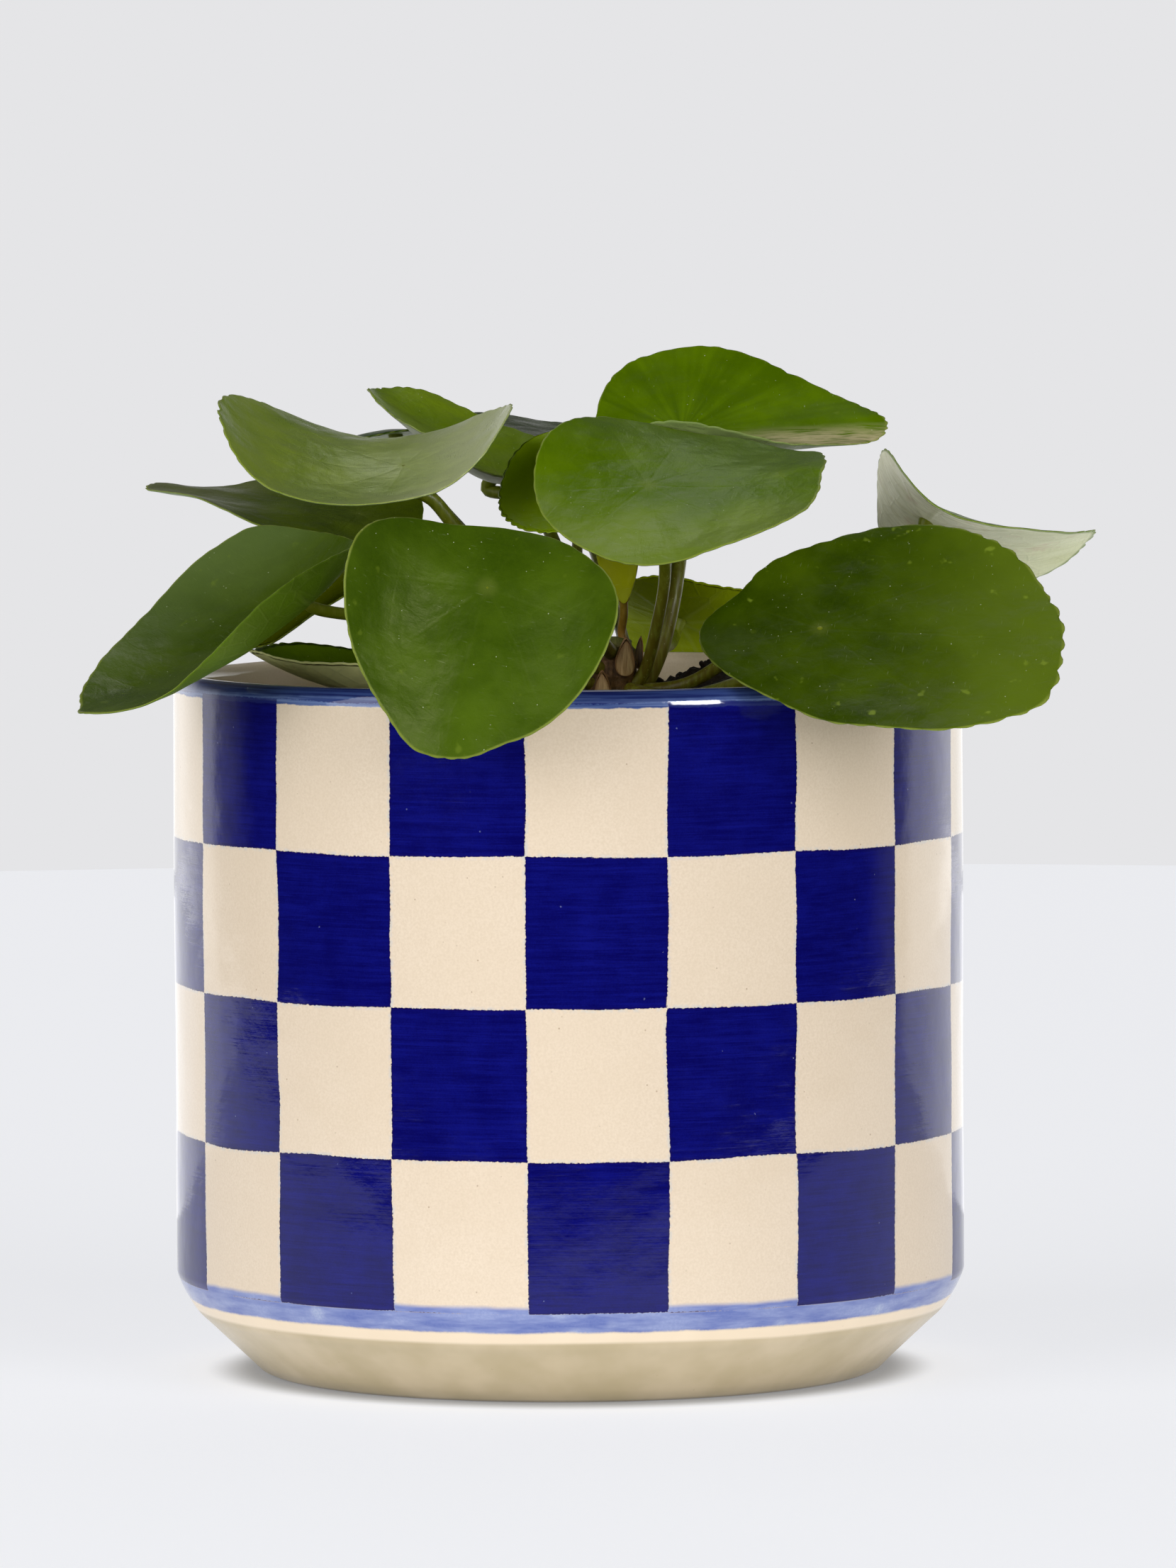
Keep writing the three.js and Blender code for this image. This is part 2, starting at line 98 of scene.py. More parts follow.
# name: at; azimuth, droop, roll; length, width; lift; bend; offset, taper, twist;
# stalk: radius, azimuth, height, rise, points passed, how far out at the rise
LEAVES = {
    "front": ((-13.6, -73, 141.7), (-33, 62.5, 32), (42.5, 51.5), (47, 49), (-4, -24), (0.23, 0.29, 0.06),
        (1.2, -15, 127, 0.6, [(1, -30, 137)])),
    "center": ((14.4, -20, 157.2), (86, 6, -31), (52.5, 54), (5, -18), (23, 16), (0.11, -0.02, 0.18),
        (1.1, 62, 121, 2.5, [(15.6, -4, 131), (17.3, -9, 143)])),
    "right_front": ((43.5, -55, 133.5), (80, 4, -38), (64, 54), (5, 5), (5, -5), (0.17, -0.2, 0),
        (1.4, 40, 120.4, 0, [(20, -13, 119.6), (28, -24, 122)])),
    "top_right": ((20.8, 27, 165), (88, -2, -35), (53, 45), (75, 6), (0, 10), (0.2, 0.6, 0),
        (1.4, 95, 120, 2.5, [(17, 4, 128.5), (19.8, 8, 142)])),
    "upper_left": ((-28.7, -6, 160.3), (-94, 8, 21), (59.5, 48), (-17, 13), (58, 45), (0.11, -0.28, 0.02),
        (1.3, -60, 126.8, 0.6, [(-9, -1, 141), (-19, -2, 149), (-23.8, -3.5, 154.6)])),
    "lower_left": ((-46.1, -40, 139.6), (-71.5, 39, 13), (59.6, 46.5), (24, 61), (28, 12), (0.28, 0.48, 0.05),
        (1.1, -45, 124, 0.6, [(-22, -20, 133)])),
    "far_left": ((-37, 12, 151.2), (-90, -7, 13.5), (50, 42.5), (6, 0), (2, 15), (0.27, 0.33, -0.15),
        (1.2, -110, 127.2, 0.6, [(-14, 8, 140)])),
    "back_upper_left": ((-13, 30, 158), (-127, -31, 0), (43, 40), (10, 35), (0, 60), (0.2, 0.2, 0),
        (1.2, -165, 124, 0.6, [(0, 18, 141), (-7, 27, 153.4)])),
    "back_top": ((-1, 66, 163.5), (-95, -8, 5), (40, 32), (5, 5), (0, 0), (0.2, 0.35, 0),
        (1.1, 155, 124, 0.6, [(6, 32, 141)])),
    "shaded_middle": ((2.4, 1, 160.7), (-20, 54, 2), (29, 28.4), (-3, 18), (30, -28), (0.15, -0.03, -0.1),
        (1.0, -148, 128, 0.8, [(2, 10, 142)])),
    "right_back": ((64.2, 8, 149.9), (79, 27.5, 26.5), (46.3, 40.6), (-20, -24), (51, 54),
        (0.17, 0.07, -0.15), (1.2, 70, 120.4, 0.4, [(22, -3, 122), (49, 3, 141)])),
    "back_low": ((20.4, 66, 129.9), (151, 32, 0), (43.5, 34.5), (52, 16), (-39, 4), (0.16, -0.17, -0.03),
        (1.3, 135, 121, 0.6, [(17, 32, 126)])),
    "rim_left": ((-28.8, -25, 120.7), (-90, -2.4, 3), (41, 30.3), (54, 48), (31, 7), (0.2, 0.12, 0),
        (1.0, -60, 121, 0.6, [(-12, -13, 122.5)])),
    "young": ((10, -4, 137), (-90, -82, 90), (13, 7), (25, 25), (0, 0), (0.42, -0.5, 0),
        (0.8, 60, 127, 4, [(10, 0, 133.5)], -1.5)),
    "shaded_left": ((-40, 1, 141), (-80, 35, 10), (34, 32), (10, 10), (5, 5), (0.2, 0, 0),
        (1.1, -90, 124, 0.6, [(-18, -3, 134)])),
    "back_left": ((-31, 47, 165), (-165, 8, 0), (31, 30), (-30, -30), (-10, -10), (0.2, 0, 0),
        (1.1, -130, 124, 0.6, [(-14, 22, 143)])),
}
# where a blade's edge stands out or in: angle from the tip, share of the radius, half the spread
SWELLS = {
    "front": [(191, 0.16, 15), (234, -0.03, 14), (163, -0.03, 8), (16, 0.035, 14), (329, -0.03, 14)],
    "center": [(145, 0.035, 16), (34, 0.035, 12), (2, -0.03, 10), (326, 0.06, 12), (274, -0.05, 12),
        (236, 0.065, 14)],
    "right_front": [(206, -0.13, 16), (262, 0.04, 14), (300, -0.03, 14), (330, -0.06, 20), (28, 0.075, 16),
        (82, -0.04, 16), (118, -0.08, 20)],
    "top_right": [(230, -0.03, 35)],
    "lower_left": [(138, 0.08, 12), (14, -0.025, 12)],
}
# azimuth, height, length, width, lean
STIPULES = [(22, 123.5, 7, 3.6, 2), (-15, 118.5, 6, 3, 4), (120, 124.5, 6, 3, 4)]


# ------------ shapes
def unit(v):
    return v / np.linalg.norm(v)


def heading(azimuth):
    a = math.radians(azimuth)
    return np.array([math.sin(a), -math.cos(a), 0.0])


def soil_level(x, y):
    (hx, hy), heap_height, heap_width = SOIL["heap"]
    mound_height, mound_width = SOIL["mound"]
    fx, fy = TRUNK["foot"]
    hills = mound_height * np.exp(-((x - fx) ** 2 + (y - fy) ** 2) / mound_width**2)
    hills = hills + heap_height * np.exp(-((x - hx) ** 2 + (y - hy) ** 2) / heap_width**2)
    clumps = np.sin(0.9 * x + 1.3) * np.sin(0.8 * y - 0.4) + 0.6 * np.sin(0.37 * x - 0.53 * y)
    return SOIL["wall_level"] + hills + SOIL["clump"] * clumps


def trunk_radius(z):
    t = TRUNK
    share = (z - t["taper_start"]) / (t["top"] - t["taper_start"])
    return t["in_soil"] if z <= t["taper_start"] else t["at_soil"] + (t["at_top"] - t["at_soil"]) * share


def on_lean(p):
    """Moves a point made about the Z axis to the trunk's leaning axis."""
    pivot = TRUNK["taper_start"]
    a = math.radians(TRUNK["lean"])
    x, y, z = p[0], p[1], p[2] - pivot
    fx, fy = TRUNK["foot"]
    out, up = x * math.cos(a) + z * math.sin(a), -x * math.sin(a) + z * math.cos(a)
    return np.array([out + fx, y + fy, up + pivot])


def on_trunk(azimuth, z, extra):
    p = heading(azimuth) * (trunk_radius(z) + extra)
    p[2] = z
    return on_lean(p)


def mesh_object(name, vertices, faces, attributes=None, face_materials=None):
    """An object at the origin from millimetre vertices; attributes are values for each vertex."""
    mesh = bpy.data.meshes.new(name)
    mesh.from_pydata([tuple(v) for v in np.asarray(vertices) * MM], [], faces)
    for key, values in (attributes or {}).items():
        values = np.asarray(values, dtype=np.float32)
        kind = "FLOAT_VECTOR" if values.ndim == 2 else "FLOAT"
        layer = mesh.attributes.new(key, kind, "POINT")
        layer.data.foreach_set("vector" if values.ndim == 2 else "value", values.ravel())
    if face_materials is not None:
        mesh.polygons.foreach_set("material_index", face_materials)
    mesh.update()
    mesh.shade_smooth()
    ob = bpy.data.objects.new(name, mesh)
    scene.collection.objects.link(ob)
    return ob


def ring_faces(rings, sides):
    """Faces of a closed body of rings of points between two single points, side by side."""
    faces = []
    for i in range(sides):
        j = (i + 1) % sides
        faces.append((0, 1 + j, 1 + i))
        for k in range(rings - 1):
            a, b = 1 + k * sides, 1 + (k + 1) * sides
            faces.append((a + i, a + j, b + j, b + i))
        a = 1 + (rings - 1) * sides
        faces.append((a + i, a + j, a + sides))
    return faces


def turned(profile, segments):
    """Vertices and faces of a closed body of revolution; the profile starts and ends on the axis."""
    rings = profile[1:-1]
    vertices = [(0, 0, profile[0][1])]
    for r, z in rings:
        for i in range(segments):
            a = 2 * math.pi * i / segments
            vertices.append((r * math.cos(a), r * math.sin(a), z))
    vertices.append((0, 0, profile[-1][1]))
    return vertices, ring_faces(len(rings), segments)


def densely(points, pitch):
    """The same polyline with points no further apart than pitch."""
    out = [points[0]]
    for a, b in zip(points, points[1:]):
        n = max(1, math.ceil(math.dist(a, b) / pitch))
        out += [tuple(np.array(a) + (np.array(b) - np.array(a)) * k / n) for k in range(1, n + 1)]
    return out


def spline(points, per_span):
    """Centripetal Catmull-Rom curve through the points, per_span steps in each span or as many as given."""
    p = [np.array(q, dtype=float) for q in points]
    p = [2 * p[0] - p[1]] + p + [2 * p[-1] - p[-2]]
    out = []
    for k in range(1, len(p) - 2):
        p0, p1, p2, p3 = p[k - 1 : k + 3]
        d0, d1, d2 = (math.sqrt(np.linalg.norm(b - a)) for a, b in ((p0, p1), (p1, p2), (p2, p3)))
        t1 = ((p1 - p0) / d0 - (p2 - p0) / (d0 + d1) + (p2 - p1) / d1) * d1
        t2 = ((p2 - p1) / d1 - (p3 - p1) / (d1 + d2) + (p3 - p2) / d2) * d1
        steps = per_span(p1, p2) if callable(per_span) else per_span
        for i in range(steps):
            s = i / steps
            out.append(p1 + t1 * s + (3 * (p2 - p1) - 2 * t1 - t2) * s**2 + (2 * (p1 - p2) + t1 + t2) * s**3)
    out.append(p[-2])
    return out


def pot_piece():
    r, h, wall, lip = POT["radius"], POT["height"], POT["wall"], POT["lip"]
    foot = [(0, 0), POT["foot"], POT["foot_edge"]]
    shoulder = spline([POT["before_shoulder"]] + POT["shoulder"] + [POT["after_shoulder"]], 6)
    shoulder = [(min(q[0], r), q[1]) for q in shoulder]
    bend = POT["outer_bend"]
    side = foot + shoulder + [(r, h - bend)]
    quarter = math.pi / 2
    arc = [(r - lip + lip * math.cos(a), h - bend + bend * math.sin(a)) for a in np.linspace(0, quarter, 13)]
    inner = np.linspace(quarter, math.pi, 9)[1:]
    arc += [(r - lip + lip * math.cos(a), h - lip + lip * math.sin(a)) for a in inner]
    inside = [(r - wall - inwards, z) for inwards, z in POT["well"]]
    profile = densely(side[:-1] + arc + inside + [(0, POT["well"][-1][1])], POT["pitch"])
    vertices, faces = turned(profile, POT["segments"])
    shaped = []
    for v in vertices:
        d = math.hypot(v[0], v[1])
        if d > 1 and v[2] > 1:
            k = 1 + POT["out_of_round"] * noise.noise(Vector(v) * 0.028) / d - 0.05 / d
            uneven = POT["uneven_height"] * noise.noise(Vector((v[0], v[1], 50)) * 0.02)
            v = (v[0] * k, v[1] * k, v[2] + uneven * v[2] / h)
        shaped.append(v)
    return mesh_object("glazed_pot", shaped, faces)


def soil_piece(draw):
    radius, segments = SOIL["radius"], SOIL["segments"]
    radii = list(np.arange(SOIL["step"], radius, SOIL["step"])) + [radius]
    profile = [(0, 1.0)] + [(r, 1.0) for r in radii] + [(radius, 0.0), (0, 0.0)]
    vertices, faces = turned(profile, segments)
    faces = [tuple(reversed(f)) for f in faces]
    shaped, tones = [], []
    for x, y, z in vertices:
        if z > 0.5:
            q = Vector((x, y, 0))
            lumps = abs(noise.noise(q * 0.21)) * SOIL["lump"]
            lumps += abs(noise.noise(q * 0.55)) * SOIL["small_lump"]
            grit = noise.noise(q * 1.6) * SOIL["grit"]
            z = float(soil_level(x, y)) + lumps - SOIL["sunk"] + grit
            shaped.append((x, y, z))
        else:
            shaped.append((x, y, SOIL["bottom"]))
        tones.append(0.5)
    points, crumb_faces = crumb()
    for _ in range(CRUMBS["count"]):
        a, d = draw.uniform(0, 2 * math.pi), CRUMBS["reach"] * math.sqrt(draw.random())
        size = draw.uniform(*CRUMBS["small" if draw.random() < CRUMBS["small_share"] else "large"])
        x, y = d * math.cos(a), d * math.sin(a)
        centre = np.array([x, y, float(soil_level(x, y)) + CRUMBS["raised"] + 0.1 * size])
        tone = draw.uniform(*CRUMBS["dark_tones"]) if draw.random() < CRUMBS["dark_share"] else 1.0
        spin = Matrix.Rotation(draw.uniform(0, 6), 3, "X") @ Matrix.Rotation(draw.uniform(0, 6), 3, "Y")
        first = len(shaped)
        for v in points:
            lump = 1 + 0.35 * noise.noise(v * 1.7 + Vector((a * 9, d, 0)))
            p = spin @ Vector((v.x * lump, v.y * lump * 0.8, v.z * lump * 0.65)) * size
            shaped.append(tuple(centre + np.array(p)))
            tones.append(tone)
        faces += [tuple(first + i for i in f) for f in crumb_faces]
    return mesh_object("potting_soil", shaped, faces, {"tone": tones})


def crumb():
    """Points and faces of the round body that each crumb of soil is shaped from."""
    bm = bmesh.new()
    bmesh.ops.create_icosphere(bm, subdivisions=2, radius=1)
    points = [v.co.copy() for v in bm.verts]
    faces = [tuple(v.index for v in f.verts) for f in bm.faces]
    bm.free()
    return points, faces


def trunk_piece():
    t = TRUNK
    bottom, top, foot_round = t["bottom"], t["top"], t["foot_round"]
    profile = [(0, bottom), (t["in_soil"] - foot_round, bottom), (t["in_soil"], bottom + foot_round)]
    z = bottom + 3
    while z < top:
        ring = (z % t["scar_spacing"]) / t["scar_spacing"]
        scar = t["scar"] * math.exp(-(((ring - 0.15) / 0.12) ** 2)) - 0.1
        profile.append((trunk_radius(z) + scar, z))
        z += t["step"]
    profile += [(0.85 * t["at_top"], top), (0.5 * t["at_top"], top + 0.3), (0, top + t["crown"])]
    vertices, faces = turned(profile, t["segments"])
    shaped = []
    for v in vertices:
        d = max(math.hypot(v[0], v[1]), 0.1)
        fine = noise.noise(Vector((v[0] * 2.4, v[1] * 2.4, v[2] * 0.9)))
        rough = t["rough"] * noise.noise(Vector(v) * 0.6) + t["fine_rough"] * fine
        k = 1 + rough / max(d, 2)
        shaped.append(on_lean((v[0] * k, v[1] * k, v[2])))
    return mesh_object("woody_stem", shaped, faces)


def leaf_frame(azimuth, droop, roll):
    tip = heading(azimuth) * math.cos(math.radians(droop))
    tip[2] = -math.sin(math.radians(droop))
    a, r = math.radians(azimuth), math.radians(roll)
    level = np.array([-math.cos(a), -math.sin(a), 0.0])
    side = level * math.cos(r) + np.cross(level, tip) * math.sin(r)
    return side, tip, np.cross(side, tip)


def curled(run, reach, angle):
    """Length run along a curve that turns evenly by angle over reach: how far out and how far up it gets."""
    rate = np.radians(angle) / reach
    still = np.abs(rate) < 1e-9
    rate = np.where(still, 1.0, rate)
    out = np.where(still, run, np.sin(rate * run) / rate)
    return out, np.where(still, 0.0, (1 - np.cos(rate * run)) / rate)


def edge_share(name, angle):
    """The radius of a blade's edge at angles from its tip, as a share of that of the plain shape."""
    total = np.ones_like(angle)
    for centre, amount, spread in SWELLS.get(name, []):
        away = (np.degrees(angle) - centre + 180) % 360 - 180
        total = total + amount * np.exp(-((away / spread) ** 2))
    return total


def blade_point(leaf, share, angle, name=None):
    """Points of a blade's middle surface in its own frame, and their places on the flat blade."""
    _, _, (length, width), lift, bend, (offset, taper, twist), _ = leaf
    edge = width / 2
    reached = share * edge_share(name, angle)
    sideways = edge * reached * np.sin(angle) * (1 - taper * np.cos(angle))
    along = length * reached * (0.5 * np.cos(angle) + offset)
    reach = length * np.where(along > 0, 0.5 + offset, 0.5 - offset)
    x, rise = curled(np.abs(sideways), edge, np.where(sideways > 0, lift[0], lift[1]))
    y, climb = curled(np.abs(along), reach, np.where(along > 0, bend[0], bend[1]))
    wave = BLADE["wave_height"] * min(1, width / 40) * share**3 * np.sin(BLADE["waves"] * angle + length)
    turn = 2 * twist * sideways * along / length
    place = np.stack([x * np.sign(sideways), y * np.sign(along), rise + climb + turn + wave], -1)
    return place, sideways, along


def blade_normal(leaf, share, angle, name=None):
    """The direction out of the upper face at the same places."""
    step = 0.01
    here = np.maximum(share, step)
    out = blade_point(leaf, here + step, angle, name)[0] - blade_point(leaf, here - step, angle, name)[0]
    around = blade_point(leaf, here, angle + step, name)[0] - blade_point(leaf, here, angle - step, name)[0]
    n = -np.cross(out, around)
    return n / np.linalg.norm(n, axis=-1, keepdims=True)


def blade_piece(name, leaf, build, teeth=0, tooth=0.0):
    """A closed blade with a rounded, scalloped edge. Material 0 is the upper face, 1 the lower one."""
    rings, points, thickness, edge = (build[key] for key in ("rings", "points", "thickness", "edge"))
    at, turn, (length, width), *_ = leaf
    leaf_name = name.removeprefix("leaf_")
    side, tip, up = leaf_frame(*turn)
    place = np.stack([side, tip, up], axis=1)
    angles = 2 * np.pi * np.arange(points) / points
    swing = np.array([noise.noise(Vector((9 * math.cos(a) / 2, 9 * math.sin(a) / 2, at[0]))) for a in angles])
    scallop = (0.5 + 0.5 * np.cos(teeth * angles + 3.0 * swing)) ** 1.5
    scallop = scallop * tooth * (0.75 + 0.9 * swing) / (width / 2)
    offset = Vector((at[0], at[1], at[2] + 40))
    loops = [(s, 1.0) for s in 1 - (1 - np.arange(1, rings + 1) / (rings + 1)) ** 1.25]
    rim = edge / (width / 2)
    loops += [(1 - rim, 1.0), (1 - 0.3 * rim, 0.72), (1.0, 0.0), (1 - 0.3 * rim, -0.72), (1 - rim, -1.0)]
    loops += [(s, -1.0) for s, _ in reversed(loops[:rings])]
    size = min(1, width / 40)
    vertices, lays = [], []

    def add(share, angle, height):
        p, sideways, along = blade_point(leaf, share, angle, leaf_name)
        n = blade_normal(leaf, share, angle, leaf_name)
        body = (thickness + (edge - thickness) * share**2) / 2
        for k in range(len(share)):
            flat = Vector((float(sideways[k]), float(along[k]), 0))
            vein = float(vein_depth(flat.x, flat.y, share[k])) * size
            ripple = BLADE["ripple"] * noise.noise(flat * 0.085 + offset) * share[k]
            ripple = ripple + BLADE["fine_ripple"] * noise.noise(flat * 0.24 + offset)
            bulge = size * ripple * min(1, share[k] * 3) - vein
            q = p[k] + n[k] * (height * body[k] + bulge)
            vertices.append(np.array(at) + place @ q)
            lays.append((flat.x, flat.y, share[k]))

    centre = np.array([1e-6])
    add(centre, np.array([0.0]), 1.0)
    for s, height in loops:
        share = s * (1 - scallop * s**10)
        add(share, angles, height)
    add(centre, np.array([0.0]), -1.0)
    upper = rings + 3
    slots = ([0] * upper + [1] * (len(loops) + 1 - upper)) * points
    return mesh_object(name, vertices, ring_faces(len(loops), points), {LAY: lays}, slots)


def vein_depth(x, y, share):
    """How far the main veins are sunk at a place on the blade, in millimetres."""
    r = math.hypot(x, y)
    a = math.atan2(x, y)
    distance = r * abs(math.sin(BLADE["veins"] * a + BLADE["vein_bend"] * r * math.sin(a))) / BLADE["veins"]
    return BLADE["vein"] * math.exp(-((distance / 1.3) ** 2)) * (1 - share) * min(1, r / 3)


def tube_piece(name, path, radii, sides):
    """A round tube along a path, with domed ends."""
    path = [np.array(p) for p in path]
    tangents = [unit(path[min(i + 1, len(path) - 1)] - path[max(i - 1, 0)]) for i in range(len(path))]
    across = unit(np.cross(tangents[0], [0.3, 0.9, 0.2]))
    vertices, along, run = [path[0] - tangents[0] * radii[0] * END_DOME], [0.0], 0.0
    for i, (p, t) in enumerate(zip(path, tangents)):
        across = unit(across - t * np.dot(across, t))
        other = np.cross(t, across)
        run += np.linalg.norm(p - path[i - 1]) if i else 0
        for k in range(sides):
            a = 2 * math.pi * k / sides
            vertices.append(p + radii[i] * (across * math.cos(a) + other * math.sin(a)))
            along.append(run)
    vertices.append(path[-1] + tangents[-1] * radii[-1] * END_DOME)
    along.append(run)
    faces = ring_faces(len(path), sides)
    return mesh_object(name, vertices, faces, {"along": np.array(along) / max(run, 1e-6)})


def stalk_piece(name, leaf):
    radius, azimuth, height, rise, via, *rest = leaf[6]
    out = rest[0] if rest else STALK["out"]
    _, _, up = leaf_frame(*leaf[1])
    blade = np.array(leaf[0], dtype=float)
    seat = blade - up * (BLADE["thickness"] / 2 + GAP)
    below = blade - up * STALK["seat_run"] * radius
    root = on_trunk(azimuth, height, -STALK["root"])
    route = [root, on_trunk(azimuth, height + rise, out), *via, below, seat]

    def steps(a, b):
        return max(3, int(np.linalg.norm(b - a) / STALK["pitch"]))

    path = spline(route, steps) + [blade - up * STALK["into_blade"]]
    n = len(path)
    radii = []
    for i in range(n):
        s = i / (n - 1)
        flare = STALK["flare"] * math.exp(-(((1 - s) * n * STALK["pitch"] / STALK["flare_run"]) ** 2))
        flare = flare + STALK["root_flare"] * math.exp(-((s / 0.07) ** 2))
        knots = 0.04 * noise.noise(Vector(path[i]) * 0.22)
        radii.append(radius * (0.97 + flare + knots))
    return tube_piece(name, path, radii, STALK["sides"])


# ------------ materials
def srgb(r, g, b):
    """A colour as seen on a screen, 0 to 255, as the linear one that the nodes take."""
    shares = (c / 255 for c in (r, g, b))
    return tuple(c / 12.92 if c <= 0.04 else ((c + 0.055) / 1.055) ** 2.4 for c in shares) + (1.0,)


class Nodes:
    """Adds nodes to a tree. Each method returns the new node's output; a value is a number or an output."""

    def __init__(self, tree):
        self.tree = tree

    def feed(self, socket, value):
        if isinstance(value, bpy.types.NodeSocket):
            self.tree.links.new(value, socket)
        elif value is not None:
            socket.default_value = value

    def node(self, kind, inputs=None, **settings):
        n = self.tree.nodes.new(kind)
        for key, value in settings.items():
            setattr(n, key, value)
        for key, value in (inputs or {}).items():
            self.feed(n.inputs[key], value)
        return n

    def math(self, operation, a, b=None):
        return self.node("ShaderNodeMath", {0: a, 1: b}, operation=operation).outputs[0]

    def add(self, a, b):
        return self.math("ADD", a, b)

    def sub(self, a, b):
        return self.math("SUBTRACT", a, b)

    def mul(self, a, b):
        return self.math("MULTIPLY", a, b)

    def smooth(self, value, low, high, from_=0.0, to=1.0):
        """Goes smoothly between two values as value goes from low to high."""
        inputs = {0: value, 1: low, 2: high, 3: from_, 4: to}
        return self.node("ShaderNodeMapRange", inputs, interpolation_type="SMOOTHSTEP").outputs[0]

    def mix(self, factor, a, b):
        return self.node("ShaderNodeMix", {0: factor, 6: a, 7: b}, data_type="RGBA").outputs[2]

    def tint(self, factor, strength, under, over):
        """Paints the colour over on under, by strength where factor is 1."""
        return self.mix(self.mul(factor, strength), under, over)

    def vector(self, x, y, z=0.0):
        return self.node("ShaderNodeCombineXYZ", {0: x, 1: y, 2: z}).outputs[0]

    def parts(self, vector):
        return self.node("ShaderNodeSeparateXYZ", {0: vector}).outputs[:3]

    def millimetres(self):
        place = self.node("ShaderNodeTexCoord").outputs["Object"]
        return self.node("ShaderNodeVectorMath", {0: place, "Scale": 1 / MM}, operation="SCALE").outputs[0]

    def attribute(self, name, output="Vector"):
        return self.node("ShaderNodeAttribute", attribute_name=name).outputs[output]

    def length(self, x, y):
        return self.math("SQRT", self.add(self.mul(x, x), self.mul(y, y)))

    def noise(self, vector, scale, detail=2.0, rough=0.5, distort=0.0):
        inputs = {"Vector": vector, "Scale": scale, "Detail": detail, "Roughness": rough}
        return self.node("ShaderNodeTexNoise", inputs | {"Distortion": distort}).outputs[0]

    def cells(self, vector, scale, feature="F1"):
        inputs = {"Vector": vector, "Scale": scale}
        return self.node("ShaderNodeTexVoronoi", inputs, feature=feature).outputs["Distance"]

    def bump(self, height, depth, normal=None):
        """Relief of depth millimetres for a height from 0 to 1."""
        inputs = {"Height": height, "Distance": depth * MM, "Strength": 1.0}
        if normal is not None:
            inputs["Normal"] = normal
        return self.node("ShaderNodeBump", inputs).outputs[0]


class Pattern(Nodes):
    """A new material's nodes."""

    def __init__(self, name):
        self.mat = bpy.data.materials.new(name)
        self.mat.use_nodes = True
        super().__init__(self.mat.node_tree)
        self.shader = self.tree.nodes["Principled BSDF"]

    def finish(self, colour, roughness, normal=None, **fixed):
        """Feeds the shader; fixed are values that are the same all over, by socket name, _ for a space."""
        self.feed(self.shader.inputs["Base Color"], colour)
        self.feed(self.shader.inputs["Roughness"], roughness)
        if normal is not None:
            self.feed(self.shader.inputs["Normal"], normal)
        for key, value in fixed.items():
            self.shader.inputs[key.replace("_", " ")].default_value = value
        return self.mat


# millimetres and degrees on the pot: the squares, how they end at the lip, the rim's edge and the watery band
CHECK = {
    "columns": 18, "first": -6.0, "bottom": 16.9, "row": 26.2, "wander": 1.6, "wander_up": 1.3,
    "ragged": 0.55, "top": (122.9, 122.5), "rim": 120.9, "light_rim": (121.7, 122.9), "band": (13.5, 18.1),
}
IRON = srgb(150, 118, 84)


